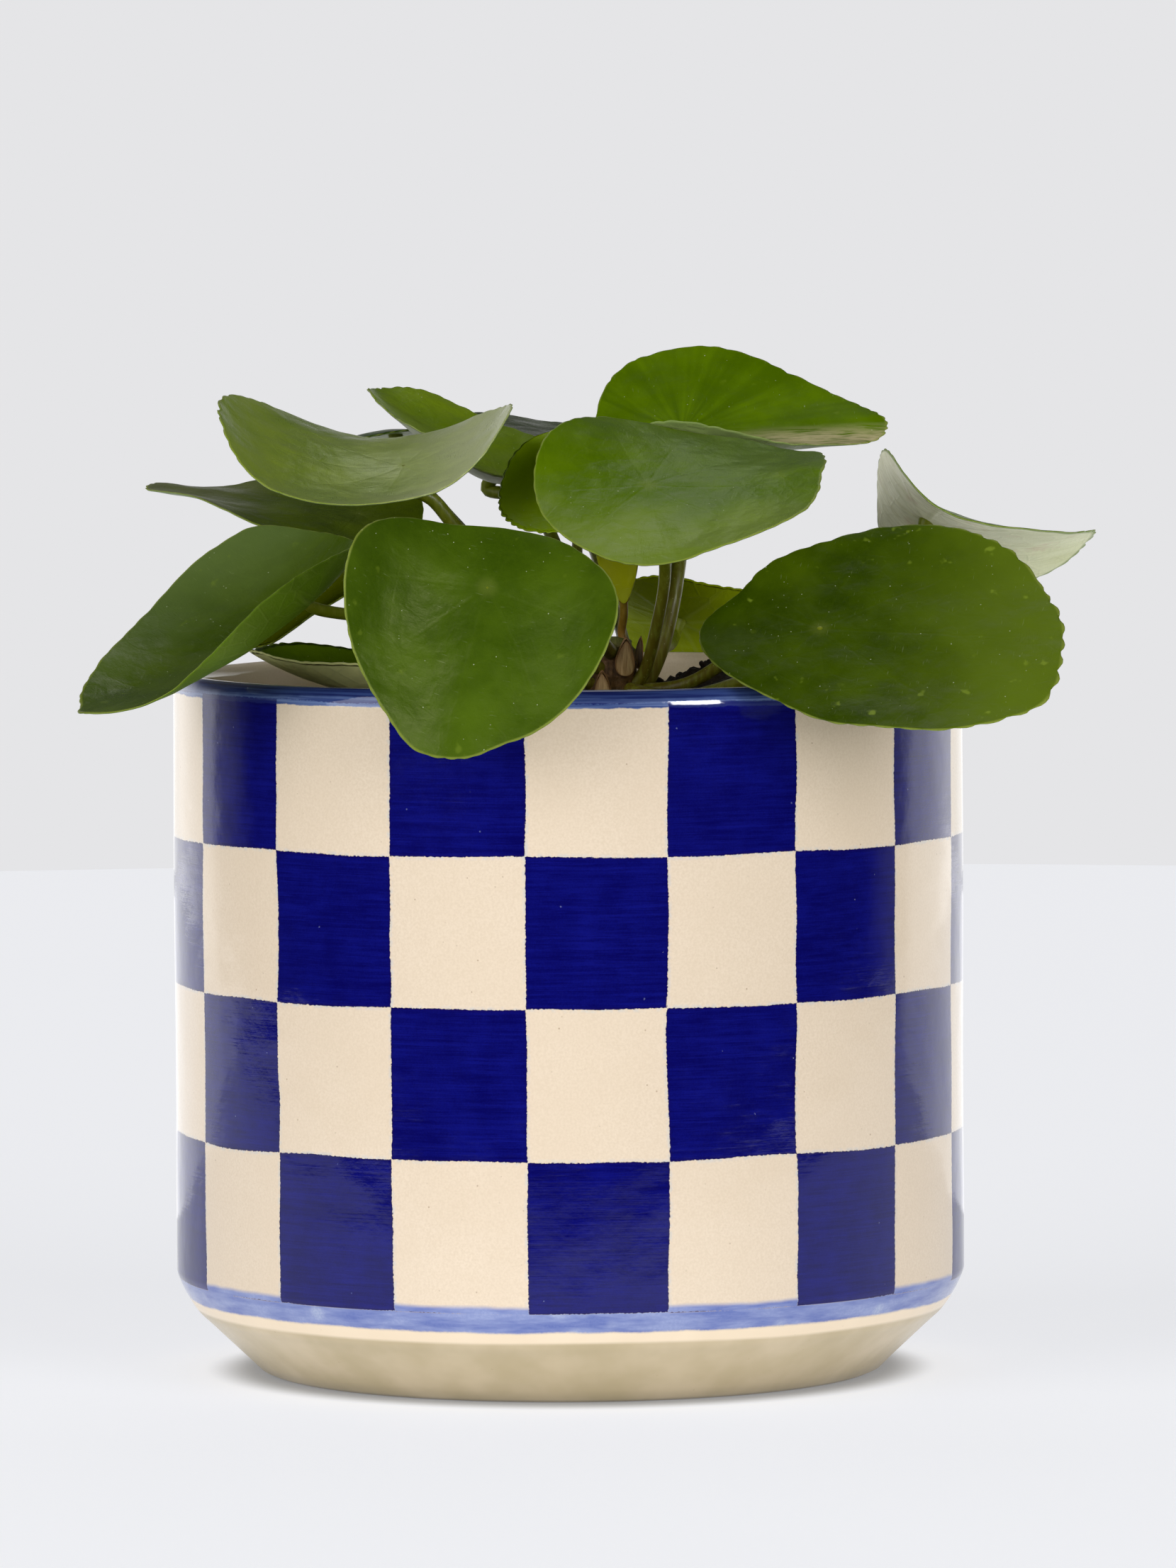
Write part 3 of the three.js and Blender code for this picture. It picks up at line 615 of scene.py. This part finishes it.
def glaze_material():
    """Cream glaze with hand-painted blue squares, a blue rim and a watery blue band above the foot."""
    m = Pattern("painted_glaze")
    place = m.millimetres()
    x, y, z = m.parts(place)
    radius = POT["radius"]
    angle = m.math("ARCTAN2", x, m.mul(y, -1.0))
    around = m.mul(angle, float(radius))
    outward = m.length(x, y)
    sheet = m.vector(x, y, z)
    column = 2 * math.pi * radius / CHECK["columns"]
    slow = m.sub(m.noise(sheet, 0.05, 1.0), 0.5)
    slow_up = m.sub(m.noise(m.vector(y, z, x), 0.045, 1.0), 0.5)
    ragged = m.mul(m.sub(m.noise(sheet, 1.9, 2.0, 0.6), 0.5), CHECK["ragged"])
    first = radius * math.radians(CHECK["first"])
    across = m.math("DIVIDE", m.add(m.sub(around, first), m.mul(slow, CHECK["wander"])), column)
    upward = m.add(m.sub(z, CHECK["bottom"]), m.mul(slow_up, CHECK["wander_up"]))
    upward = m.math("DIVIDE", upward, CHECK["row"])

    def to_line(count, size):
        """How far it is to the nearest line between squares, in millimetres."""
        return m.mul(m.sub(0.5, m.math("ABSOLUTE", m.sub(m.math("FRACT", count), 0.5))), size)

    from_side, from_row = to_line(across, column), to_line(upward, CHECK["row"])
    odd = m.math("FLOORED_MODULO", m.add(m.math("FLOOR", across), m.math("FLOOR", upward)), 2.0)
    sign = m.sub(1.0, m.mul(odd, 2.0))
    inside = m.mul(m.math("MINIMUM", from_side, from_row), sign)
    square = m.smooth(m.add(inside, ragged), -0.06, 0.10)
    on_wall = m.mul(m.smooth(z, CHECK["bottom"] - 0.1, CHECK["bottom"] + 0.1), m.smooth(z, *CHECK["top"]))
    on_wall = m.mul(on_wall, m.smooth(outward, 67.6, 67.8))
    square = m.mul(square, on_wall)

    # Cream body: warm, faintly mottled, with fine iron specks.
    cream = m.mix(m.noise(sheet, 0.09, 3.0), srgb(231, 215, 194), srgb(223, 205, 181))
    cream = m.mix(m.smooth(m.noise(sheet, 2.6, 2.0), 0.25, 0.75), cream, srgb(220, 202, 178))
    speck = m.smooth(m.cells(sheet, 0.42), 0.085, 0.045)
    strong = m.smooth(m.noise(m.vector(z, x, y), 0.3, 0.0), 0.52, 0.68)
    specks = m.mul(speck, strong)
    cream = m.tint(specks, 0.55, cream, IRON)

    # Blue: brush strokes that run round the pot, thin patches and a few pin-holes.
    stroke_place = m.vector(m.mul(around, 0.05), m.mul(z, 1.5), m.mul(slow, 3.0))
    strokes = m.noise(stroke_place, 1.0, 4.0, 0.65)
    fine_place = m.vector(m.mul(around, 0.16), m.mul(z, 5.5), 0.0)
    fine_strokes = m.noise(fine_place, 1.0, 2.0, 0.6)
    thin = m.noise(sheet, 0.16, 3.0, 0.6)
    grain = m.noise(sheet, 3.2, 2.0, 0.7)
    lay = m.add(m.mul(strokes, 0.42), m.mul(fine_strokes, 0.25))
    lay = m.add(lay, m.add(m.mul(thin, 0.25), m.mul(grain, 0.2)))
    blue = m.mix(m.smooth(lay, 0.42, 0.74), srgb(3, 2, 82), srgb(11, 15, 114))
    pin = m.mul(m.smooth(m.cells(sheet, 0.33), 0.06, 0.03), m.smooth(m.noise(sheet, 0.1, 0.0), 0.5, 0.6))
    blue = m.tint(pin, 0.6, blue, srgb(90, 100, 165))
    blue = m.tint(m.smooth(inside, 0.55, 0.05), 0.5, blue, srgb(20, 5, 62))
    halo = m.mul(m.smooth(inside, -0.75, -0.1), m.smooth(m.noise(sheet, 0.9, 2.0), 0.35, 0.7))
    cream_beside = m.tint(m.mul(halo, on_wall), 0.5, cream, srgb(190, 198, 206))
    colour = m.mix(square, cream_beside, blue)

    # Watery band above the foot, over the cream and under the squares.
    low, high = CHECK["band"]
    wander = m.mul(m.sub(m.noise(sheet, 0.12, 2.0), 0.5), 0.9)
    banded_z = m.add(z, wander)
    band = m.smooth(m.add(banded_z, m.mul(ragged, 0.7)), low - 0.25, low + 0.35)
    band = m.mul(band, m.smooth(banded_z, high + 0.5, high - 0.5))
    wash = m.noise(m.vector(m.mul(around, 0.09), m.mul(z, 0.5), 1.0), 1.0, 3.0, 0.6)
    washed = m.mix(m.smooth(wash, 0.3, 0.68), srgb(96, 112, 176), srgb(146, 158, 200))
    blot = m.smooth(m.cells(m.vector(m.mul(around, 0.14), m.mul(z, 0.16), 4.0), 1.0), 0.3, 0.08)
    washed = m.tint(blot, 0.55, washed, srgb(180, 190, 212))
    washed = m.tint(m.smooth(m.noise(sheet, 2.2, 2.0), 0.35, 0.65), 0.35, washed, srgb(118, 132, 186))
    colour = m.mix(m.mul(band, m.sub(1.0, square)), colour, washed)
    bare = m.smooth(banded_z, low + 0.2, low - 0.4)
    clay = m.mix(m.noise(sheet, 0.12, 3.0), srgb(245, 227, 200), srgb(236, 216, 186))
    clay = m.tint(specks, 0.5, clay, IRON)
    colour = m.mix(bare, colour, clay)

    # Blue rim: light where it thins below the lip, dark over it.
    rim_drift = m.noise(m.vector(m.mul(around, 0.3), m.mul(z, 0.3)), 1.0, 2.0)
    rim_z = m.add(z, m.mul(m.sub(rim_drift, 0.5), 0.7))
    on_rim = m.smooth(m.add(rim_z, m.mul(ragged, 0.5)), CHECK["rim"] - 0.12, CHECK["rim"] + 0.14)
    on_rim = m.mul(on_rim, m.smooth(outward, 67.5, 68.0))
    rim_streak = m.noise(m.vector(m.mul(around, 0.06), m.mul(z, 2.4), 7.0), 1.0, 3.0)
    light_rim = m.mix(m.smooth(rim_streak, 0.35, 0.65), srgb(62, 82, 140), srgb(104, 124, 172))
    dark_rim = m.mix(m.smooth(rim_streak, 0.35, 0.65), srgb(26, 36, 92), srgb(50, 68, 124))
    rim = m.mix(m.smooth(rim_z, *CHECK["light_rim"]), light_rim, dark_rim)
    over_square = m.mul(square, m.smooth(rim_z, 122.3, 121.5))
    rim = m.tint(over_square, 0.85, rim, srgb(12, 14, 98))
    colour = m.mix(on_rim, colour, rim)

    # The inside of the wall: painted shade, browner and darker lower down, in patches.
    painted_inner_shade = m.mul(m.smooth(outward, 67.0, 66.4), m.smooth(z, 123.2, 118.0, 0.35, 0.8))
    stain_and_shade = m.smooth(m.noise(sheet, 0.07, 3.0), 0.2, 0.7, 0.6, 1.0)
    colour = m.mix(m.mul(painted_inner_shade, stain_and_shade), colour, srgb(174, 158, 118))

    # Relief: the thrown wall, the glaze's orange peel, the brush strokes and the pin-holes.
    lumps = m.noise(sheet, 0.11, 1.0)
    orange_peel = m.noise(sheet, 0.55, 2.0)
    normal = m.bump(lumps, 0.14)
    normal = m.bump(orange_peel, 0.016, normal)
    normal = m.bump(strokes, 0.008, normal)
    normal = m.bump(pin, -0.05, normal)
    roughness = m.add(m.mul(m.noise(sheet, 0.5, 3.0), 0.06), m.add(m.mul(bare, 0.16), 0.045))
    return m.finish(colour, roughness, normal, IOR=1.43)


def soil_material():
    """Dark peat with fibres, pale chips and a few light crumbs."""
    m = Pattern("peat_soil")
    place = m.millimetres()
    tone = m.attribute("tone", "Fac")
    fibres = m.noise(place, 0.7, 5.0, 0.7, 0.6)
    colour = m.mix(m.smooth(fibres, 0.35, 0.7), srgb(20, 12, 6), srgb(62, 42, 24))
    colour = m.mix(m.smooth(m.noise(place, 0.12, 2.0), 0.45, 0.7), colour, srgb(48, 30, 22))
    chip = m.smooth(m.cells(place, 0.5), 0.16, 0.1)
    odd = m.smooth(m.noise(place, 0.25, 0.0), 0.56, 0.62)
    colour = m.mix(m.mul(chip, m.mul(odd, 0.8)), colour, srgb(150, 118, 82))
    colour = m.mix(m.smooth(tone, 0.85, 0.95), colour, srgb(176, 158, 132))
    colour = m.mix(m.smooth(tone, 0.75, 0.3), colour, srgb(34, 20, 14))
    normal = m.bump(m.noise(place, 1.8, 6.0, 0.75), 0.9)
    return m.finish(colour, m.smooth(fibres, 0.3, 0.7, 0.95, 0.7), normal)


def bark_material():
    """Brown cork with rings, greener at the growing tip."""
    m = Pattern("corky_bark")
    place = m.millimetres()
    x, y, z = m.parts(place)
    grain = m.noise(m.vector(m.mul(x, 1.2), m.mul(y, 1.2), m.mul(z, 0.45)), 1.0, 4.0, 0.65)
    rings = m.noise(m.vector(m.mul(x, 0.12), m.mul(y, 0.12), m.mul(z, 1.1)), 1.0, 2.0)
    colour = m.mix(m.smooth(grain, 0.3, 0.7), srgb(56, 34, 6), srgb(104, 72, 30))
    colour = m.mix(m.smooth(rings, 0.5, 0.64), colour, srgb(84, 60, 28))
    colour = m.mix(m.smooth(z, 126.0, 130.0), colour, srgb(92, 96, 26))
    normal = m.bump(grain, 0.5)
    return m.finish(colour, m.smooth(grain, 0.3, 0.7, 0.85, 0.6), normal)


def scale_material():
    """Dry papery brown with fine ribs, darker at the edge."""
    m = Pattern("dry_stipule")
    x, y, share = m.parts(m.attribute(LAY))
    ribs = m.noise(m.vector(m.mul(x, 2.2), m.mul(y, 0.25)), 1.0, 3.0)
    colour = m.mix(m.smooth(ribs, 0.35, 0.65), srgb(148, 116, 72), srgb(186, 156, 106))
    colour = m.mix(m.smooth(share, 0.6, 1.0), colour, srgb(128, 90, 46))
    return m.finish(colour, m.smooth(ribs, 0.3, 0.7, 0.55, 0.75), m.bump(ribs, 0.25))


def stalk_material(name, low, high, stain_and_shade):
    """A stalk: its colour goes from low at the trunk to high at the blade, with long faint stripes."""
    m = Pattern(name)
    along = m.attribute("along", "Fac")
    place = m.millimetres()
    x, y, z = m.parts(place)
    stripe = m.noise(m.vector(m.mul(x, 1.3), m.mul(y, 1.3), m.mul(z, 0.12)), 1.0, 3.0)
    blotch = m.noise(place, 0.25, 3.0)
    colour = m.mix(m.smooth(m.add(along, m.mul(m.sub(blotch, 0.5), 0.4)), 0.05, 0.9), low, high)
    colour = m.tint(m.smooth(stripe, 0.4, 0.7), 0.5, colour, stain_and_shade)
    dots = m.smooth(m.cells(place, 1.1), 0.14, 0.06)
    colour = m.tint(dots, 0.35, colour, srgb(196, 198, 130))
    roughness = m.smooth(blotch, 0.3, 0.7, 0.34, 0.46)
    return m.finish(colour, roughness, m.bump(stripe, 0.09), Specular_IOR_Level=0.22)


def veins(m, x, y, share, width):
    """Lines of one width that spread from the stalk, with finer ones between them, from 0 to 1."""
    r = m.length(x, y)
    a = m.math("ARCTAN2", x, y)
    bend = m.mul(m.mul(r, m.math("SINE", a)), BLADE["vein_bend"])
    drift = m.mul(m.sub(m.noise(m.vector(x, y), 0.09, 2.0), 0.5), 0.5)
    main = m.math("ABSOLUTE", m.math("SINE", m.add(m.mul(a, BLADE["veins"]), m.add(bend, drift))))
    main = m.smooth(m.math("DIVIDE", m.mul(main, r), BLADE["veins"]), width, 0.12 * width)
    net = m.smooth(m.cells(m.vector(x, y), 0.2, "DISTANCE_TO_EDGE"), 0.07, 0.0)
    fade = m.smooth(share, 1.0, 0.55)
    return m.mul(main, fade), m.mul(net, m.smooth(share, 0.1, 0.3))


# The usual leaf. gloss is the upper face's roughness and sheen its specular level. Then how strong each
# marking is on it, the streaks at the tip being a painted sheen, and where a painted sheen fades in: axis,
# start, end and colour. The last two are for the underside.
LEAF_LOOKS = {
    "gloss": 0.26, "sheen": 0.1, "mottle": 0.4, "vein": 0.015, "net": 0.01, "ribs": 0.0, "hub": 0.12,
    "spots": 0.25, "painted_tip_sheen": 0.0, "fade": None, "streaks": 0.0, "under_sheen": 0.2,
}
WARM_GLOSS = (1.0, 0.97, 0.55, 1.0)


def leaf_ground(name, width):
    """A new leaf material with its blade's flat place, share of the radius, pattern place and veins."""
    m = Pattern(name)
    x, y, share = m.parts(m.attribute(LAY))
    flat = m.vector(x, y, float(len(name.rsplit("_", 1)[0])) * 3.7)
    return m, x, y, share, flat, *veins(m, x, y, share, width)


def upper_material(name, deep, light, look):
    """A glossy upper face; deep and light are its two greens."""
    m, x, y, share, flat, main, fine = leaf_ground(f"{name}_upper", 0.5)
    cloud = m.noise(flat, 0.07, 3.0, 0.6)
    grain = m.noise(flat, 1.5, 3.0, 0.7)
    colour = m.mix(m.smooth(cloud, 0.2, 0.8), deep, light)
    colour = m.tint(m.smooth(grain, 0.3, 0.75), look["mottle"] * 0.5, colour, light)
    # A painted sheen: a lighter colour painted in along one axis, from start to end.
    if look["fade"]:
        axis, start, end, tone = look["fade"]
        wander = m.mul(m.sub(m.noise(flat, 0.06, 2.0), 0.5), 22.0)
        course = m.add(y if axis == "along" else x, wander)
        colour = m.tint(m.smooth(course, start, end), 0.8, colour, srgb(*tone))
    rib = m.mix(0.5, light, srgb(150, 172, 70))
    colour = m.tint(main, look["vein"], colour, rib)
    colour = m.tint(fine, look["net"], colour, rib)
    fan = m.mul(m.math("ARCTAN2", x, y), 5.0)
    fan = m.noise(m.vector(fan, m.mul(share, 0.5), 3.0), 1.0, 2.0, 0.6)
    colour = m.tint(m.smooth(fan, 0.35, 0.7), look["ribs"], colour, deep)
    colour = m.tint(m.smooth(m.length(x, y), 2.6, 0.5), look["hub"], colour, srgb(150, 160, 76))
    if look["painted_tip_sheen"]:
        # Painted sheen: pale beige streaks glinting towards the tip on one side.
        tip_streaks = m.noise(m.vector(m.mul(x, 1.6), m.mul(y, 0.16), 6.0), 1.0, 3.0, 0.6)
        tip_place = m.mul(m.smooth(y, 0.0, 22.0), m.smooth(x, -1.5, 4.0))
        painted_glare = m.mul(m.mul(tip_place, m.smooth(tip_streaks, 0.28, 0.58)), look["painted_tip_sheen"])
        colour = m.tint(painted_glare, 0.9, colour, srgb(190, 178, 136))
    patch = m.smooth(m.noise(flat, 0.33, 2.0), 0.66, 0.76)
    patch = m.mul(patch, m.mul(m.smooth(share, 0.45, 0.8), look["spots"]))
    colour = m.mix(patch, colour, srgb(122, 142, 42))
    dot_shape = m.smooth(m.cells(flat, 0.75), 0.1, 0.05)
    dots = m.mul(dot_shape, m.smooth(m.noise(flat, 0.5, 0.0), 0.56, 0.66))
    colour = m.tint(dots, 0.75, colour, srgb(196, 204, 168))
    colour = m.tint(m.smooth(share, 0.98, 0.995), 0.6, colour, srgb(140, 152, 66))
    scratch = m.noise(m.vector(m.mul(x, 0.35), m.mul(y, 3.0), 2.0), 1.0, 3.0)
    colour = m.tint(m.smooth(scratch, 0.66, 0.74), 0.12, colour, srgb(176, 186, 140))
    striae = m.noise(m.vector(m.mul(x, 0.5), m.mul(y, 4.2), 5.0), 1.0, 3.0, 0.6)
    normal = m.bump(m.noise(flat, 0.16, 2.0), 0.5)
    normal = m.bump(main, -0.02, normal)
    normal = m.bump(fine, -0.012, normal)
    normal = m.bump(m.noise(flat, 1.1, 3.0, 0.6), 0.06, normal)
    normal = m.bump(striae, 0.015, normal)
    normal = m.bump(dots, 0.03, normal)
    gloss = look["gloss"]
    roughness = m.smooth(m.add(m.mul(cloud, 0.5), m.mul(striae, 0.5)), 0.3, 0.7, gloss, gloss + 0.14)
    return m.finish(colour, roughness, normal, Specular_IOR_Level=look["sheen"], Specular_Tint=WARM_GLOSS)


def under_material(name, under, look):
    """A matt underside of one pale green, with raised veins."""
    m, x, y, share, flat, main, fine = leaf_ground(f"{name}_under", 0.8)
    cloud = m.noise(flat, 0.1, 3.0, 0.6)
    darker = tuple(c * 0.8 for c in under[:3]) + (1.0,)
    colour = m.mix(m.smooth(cloud, 0.3, 0.7), under, darker)
    colour = m.tint(main, 0.12, colour, srgb(160, 170, 90))
    colour = m.tint(fine, 0.05, colour, srgb(150, 162, 84))
    dots = m.smooth(m.cells(flat, 0.9), 0.13, 0.07)
    colour = m.tint(dots, 0.14, colour, srgb(206, 210, 150))
    streaks = look["streaks"]
    if streaks:
        long_streaks = m.noise(m.vector(m.mul(x, 1.1), m.mul(y, 0.1), 8.0), 1.0, 4.0, 0.65)
        colour = m.tint(m.smooth(long_streaks, 0.42, 0.7), streaks, colour, srgb(204, 202, 152))
        # Greener towards the tip; the near-white colour left at the base end is partly a painted glare.
        colour = m.tint(m.smooth(y, -4.0, 26.0), 0.6, colour, srgb(198, 206, 154))
        blush = m.smooth(m.noise(flat, 0.16, 3.0, 0.6), 0.56, 0.72)
        colour = m.tint(blush, 0.5 * streaks, colour, srgb(190, 152, 122))
        colour = m.tint(m.smooth(share, 0.955, 0.985), 0.8, colour, srgb(96, 122, 40))
    normal = m.bump(main, 0.12)
    normal = m.bump(fine, 0.04, normal)
    normal = m.bump(m.noise(flat, 1.3, 4.0, 0.6), 0.1, normal)
    roughness = m.smooth(cloud, 0.3, 0.7, 0.42, 0.55)
    sheen = look["under_sheen"]
    return m.finish(colour, roughness, normal, Specular_IOR_Level=sheen, Specular_Tint=WARM_GLOSS)


# ------------ assembly
draw = random.Random(SEED)


def dress(piece, node, slot, *materials):
    """Gives a piece its materials, attaches it to the root body and hides the node it stands for."""
    for mat in materials:
        piece.data.materials.append(mat)
    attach(piece, "root")
    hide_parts(node)


UNDER = (120, 140, 84)
# deep, light and underside greens; then what differs from LEAF_LOOKS
GREENS = {
    "front": ((48, 70, 4), (72, 96, 10), UNDER, {"gloss": 0.34}),
    # center: the fade is a painted sheen over one half.
    "center": ((68, 96, 0), (92, 120, 2), UNDER, {"sheen": 0.11, "fade": ("across", 2, 20, (120, 142, 48))}),
    "right_front": ((34, 52, 0), (66, 86, 4), UNDER, {
        "spots": 0.7, "sheen": 0.04, "fade": ("along", 2, 44, (96, 116, 26)),
    }),
    # top_right: bright yellow greens, painted light shining through the leaf; its tip streaks are a painted
    # sheen.
    "top_right": ((66, 92, 0), (98, 128, 0), (130, 150, 84), {"ribs": 0.7, "sheen": 0.01, "painted_tip_sheen": 1.0}),
    # upper_left: lighter greens and a pale fade towards the base end, a painted sheen.
    "upper_left": ((98, 122, 12), (128, 148, 36), UNDER, {
        "sheen": 0.3, "fade": ("along", 12, -18, (188, 194, 150)),
    }),
    # lower_left: the fade is a painted sheen over one side.
    "lower_left": ((50, 70, 4), (72, 92, 12), (84, 112, 12), {
        "sheen": 0.2, "fade": ("across", 2, 26, (88, 106, 56)),
    }),
    # far_left: the pale fade towards the tip is a painted sheen.
    "far_left": ((66, 84, 0), (96, 114, 8), UNDER, {
        "sheen": 0.01, "fade": ("along", 12, 32, (134, 140, 96)),
    }),
    "back_upper_left": ((84, 110, 0), (116, 140, 8), (140, 152, 96), {"sheen": 0.05}),
    "back_top": ((36, 52, 6), (60, 80, 16), (100, 118, 68), {}),
    # shaded_middle: greens raised far above its neighbours', painted light on a leaf that lies in shade.
    "shaded_middle": ((118, 150, 0), (138, 166, 4), (110, 130, 72), {"sheen": 0.06}),
    # right_back: a near-white underside, partly the pale underside and partly a painted glare; greener
    # towards the tip.
    "right_back": ((80, 104, 20), (110, 134, 40), (255, 255, 222), {"streaks": 0.6, "under_sheen": 0.3}),
    # back_low: a saturated green underside, painted light shining through the leaf.
    "back_low": ((62, 86, 6), (86, 112, 14), (130, 146, 0), {"under_sheen": 0.01}),
    # rim_left: a near-white underside, painted light shining through the leaf.
    "rim_left": ((64, 88, 2), (92, 116, 8), (255, 255, 176), {"under_sheen": 0.02}),
    "young": ((140, 146, 6), (160, 162, 20), (146, 152, 30), {"spots": 0.1}),
    "shaded_left": ((66, 74, 0), (82, 92, 4), (100, 118, 60), {"sheen": 0.0}),
    "back_left": ((40, 62, 10), (60, 86, 18), (110, 130, 72), {}),
}

dress(pot_piece(), "pot", "glaze", glaze_material())
dress(soil_piece(draw), "soil", "soil", soil_material())
dress(trunk_piece(), "trunk", "bark", bark_material())
papery = scale_material()
for i, (azimuth, height, length, width, lean) in enumerate(STIPULES, 1):
    at = on_trunk(azimuth, height, BLADE["thickness"] / 2 + GAP + STIPULE["clear"])
    curl = (STIPULE["curl"], STIPULE["curl"])
    outline = (STIPULE["offset"], STIPULE["taper"], 0)
    scale = (at, (azimuth, lean - 90, 0), (length, width), curl, (0, 0), outline, None)
    dress(blade_piece(f"papery_scale_{i}", scale, STIPULE), f"stipule_{i}", "scale", papery, papery)
green_stalk = stalk_material("green_stalk", srgb(92, 82, 16), srgb(100, 110, 12), srgb(126, 132, 44))
red_stalk = stalk_material("red_stalk", srgb(134, 96, 36), srgb(126, 104, 24), srgb(156, 124, 56))
for name, leaf in LEAVES.items():
    deep, light, under, more = GREENS[name]
    look = LEAF_LOOKS | more
    upper = upper_material(name, srgb(*deep), srgb(*light), look)
    lower = under_material(name, srgb(*under), look)
    young = name == "young"
    if young:
        blade = blade_piece(f"leaf_{name}", leaf, YOUNG_BLADE)
    else:
        tooth = BLADE["tooth"] * SMOOTHER_EDGES.get(name, 1.0)
        blade = blade_piece(f"leaf_{name}", leaf, BLADE, BLADE["teeth"], tooth)
    dress(blade, f"blade_{name}", "young_leaf" if young else "leaf", upper, lower)
    stalk = stalk_piece(f"petiole_{name}", leaf)
    dress(stalk, f"stalk_{name}", "red_stalk" if young else "stalk", red_stalk if young else green_stalk)

# ------------ floor, light and camera
# metres
FLOOR = {"centre_y": 0.45, "radius": 0.85, "below": -0.0001, "sides": 160}
# millimetres: the glow fades under the pot, a painted contact shadow, and at the front edge, and grows
# towards the back
FLOOR_GLOW = {"under_pot": (56.0, 66.0), "front": (-330.0, -265.0), "strength": 0.78, "growth": 0.00007}


def floor_piece():
    """A plain round table top; its front edge is near, so that the glaze mirrors little of it."""
    n = FLOOR["sides"]
    centre, radius, z = FLOOR["centre_y"] / MM, FLOOR["radius"] / MM, FLOOR["below"] / MM
    points = [(0, centre, z)]
    for i in range(n):
        a = 2 * math.pi * i / n
        points.append((radius * math.cos(a), centre + radius * math.sin(a), z))
    ob = mesh_object("floor", points, [(0, 1 + i, 1 + (i + 1) % n) for i in range(n)])
    m = Pattern("floor_paper")
    place = m.millimetres()
    x, y, _ = m.parts(place)
    colour = m.mix(m.noise(place, 0.01, 2.0), srgb(146, 147, 149), srgb(149, 150, 152))
    # Painted contact shadow: the glow drops to a quarter at the pot's foot.
    contact_shadow = m.smooth(m.length(x, y), *FLOOR_GLOW["under_pot"], 0.25, 1.0)
    glow = m.mul(contact_shadow, m.smooth(y, *FLOOR_GLOW["front"], 0.2, 1.0))
    strength = m.add(m.mul(y, FLOOR_GLOW["growth"]), FLOOR_GLOW["strength"])
    m.feed(m.shader.inputs["Emission Color"], srgb(238, 239, 243))
    m.feed(m.shader.inputs["Emission Strength"], m.mul(glow, strength))
    ob.data.materials.append(m.finish(colour, 0.9, m.bump(m.noise(place, 0.8, 2.0), 0.02)))


floor_piece()

# The photograph's viewing angle: metres, radians and pixels; the sensor is in millimetres.
EYE = Vector((0, -1.861, 0.2178))
PITCH, YAW, ROLL = 0.0612, 0.0019, -0.0052
FOCAL_PX, PHOTO_HEIGHT, SENSOR = 14821, 2212, 36
forward = Vector((math.sin(YAW) * math.cos(PITCH), math.cos(YAW) * math.cos(PITCH), -math.sin(PITCH)))
right = Vector((math.cos(YAW), -math.sin(YAW), 0))
upward = right.cross(forward)
right, upward = (
    right * math.cos(ROLL) + upward * math.sin(ROLL),
    upward * math.cos(ROLL) - right * math.sin(ROLL),
)
camera = bpy.data.objects.new("camera", bpy.data.cameras.new("camera"))
camera.data.sensor_width = SENSOR
camera.data.lens = FOCAL_PX * SENSOR / PHOTO_HEIGHT
camera.data.clip_end = 20
camera.matrix_world = Matrix.Translation(EYE) @ Matrix((right, upward, -forward)).transposed().to_4x4()
scene.collection.objects.link(camera)
scene.camera = camera
scene.view_settings.view_transform = "Standard"


def softbox(name, place, aim, size, power, mirrored=True, lights=True):
    """A rectangular lamp; mirrored: it shows in gloss; lights: it lights matt surfaces."""
    lamp = bpy.data.lights.new(name, "AREA")
    lamp.shape = "RECTANGLE"
    lamp.size, lamp.size_y = size
    lamp.energy = power
    ob = bpy.data.objects.new(name, lamp)
    ob.location = place
    ob.rotation_euler = (Vector(aim) - Vector(place)).to_track_quat("-Z", "Y").to_euler()
    ob.visible_camera = False
    ob.visible_glossy = mirrored
    ob.visible_diffuse = lights
    scene.collection.objects.link(ob)


def beside(azimuth, distance, z):
    p = heading(azimuth) * distance
    return (float(p[0]), float(p[1]), z)


# The table behind the object is brighter in the glaze than to the camera, and in front it lights from below.
softbox("table_glow", (0, 0.7, 0.001), (0, 0.7, 1), (1.8, 0.9), 2.5, lights=False)
softbox("table_bounce", (0, -0.55, 0.02), (0, 0, 0.25), (1.4, 0.6), 2.0, mirrored=False)

AIM = (0, 0, 0.1)
softbox("front_left_softbox", beside(-49, 2.0, 0.85), AIM, (1.8, 1.5), 30.5)
softbox("top_softbox", beside(180, 0.75, 1.35), AIM, (0.45, 0.8), 1.8)
softbox("front_right_softbox", beside(38, 1.9, 0.7), AIM, (1.3, 1.1), 21.5, mirrored=False)
# The same softbox as the gloss shows it: small and bright.
softbox("front_right_window", beside(37, 1.9, 0.7), AIM, (0.5, 0.45), 27.0, lights=False)


def studio_world():
    """A bright sweep behind the object and a dark room in front of it; the camera sees one plain tone."""
    world = bpy.data.worlds.new("studio")
    world.use_nodes = True
    w = Nodes(world.node_tree)
    x, y, z = w.parts(w.node("ShaderNodeTexCoord").outputs["Generated"])
    ray = w.node("ShaderNodeLightPath").outputs
    # backward is 0 beside the object and 1 straight behind it
    backward = w.add(y, w.mul(x, 0.07))
    sweep = w.add(w.smooth(backward, 0.45, 0.57, 0.0, 0.98), w.smooth(backward, 0.5, 0.9, 0.0, 0.2))
    sweep = w.add(sweep, w.smooth(backward, 0.84, 0.95, 0.0, -0.35))
    tail = w.smooth(backward, 0.15, 0.5, 0.04, 0.42)
    low = w.smooth(z, 0.02, 0.36, 1.0, 0.08)
    light = w.mul(w.add(sweep, tail), low)
    light = w.mul(light, w.smooth(ray["Is Diffuse Ray"], 0.0, 1.0, 1.0, 0.6))
    tone = w.mix(ray["Is Camera Ray"], light, srgb(229, 229, 231))
    w.feed(w.tree.nodes["Background"].inputs["Color"], tone)
    scene.world = world


studio_world()
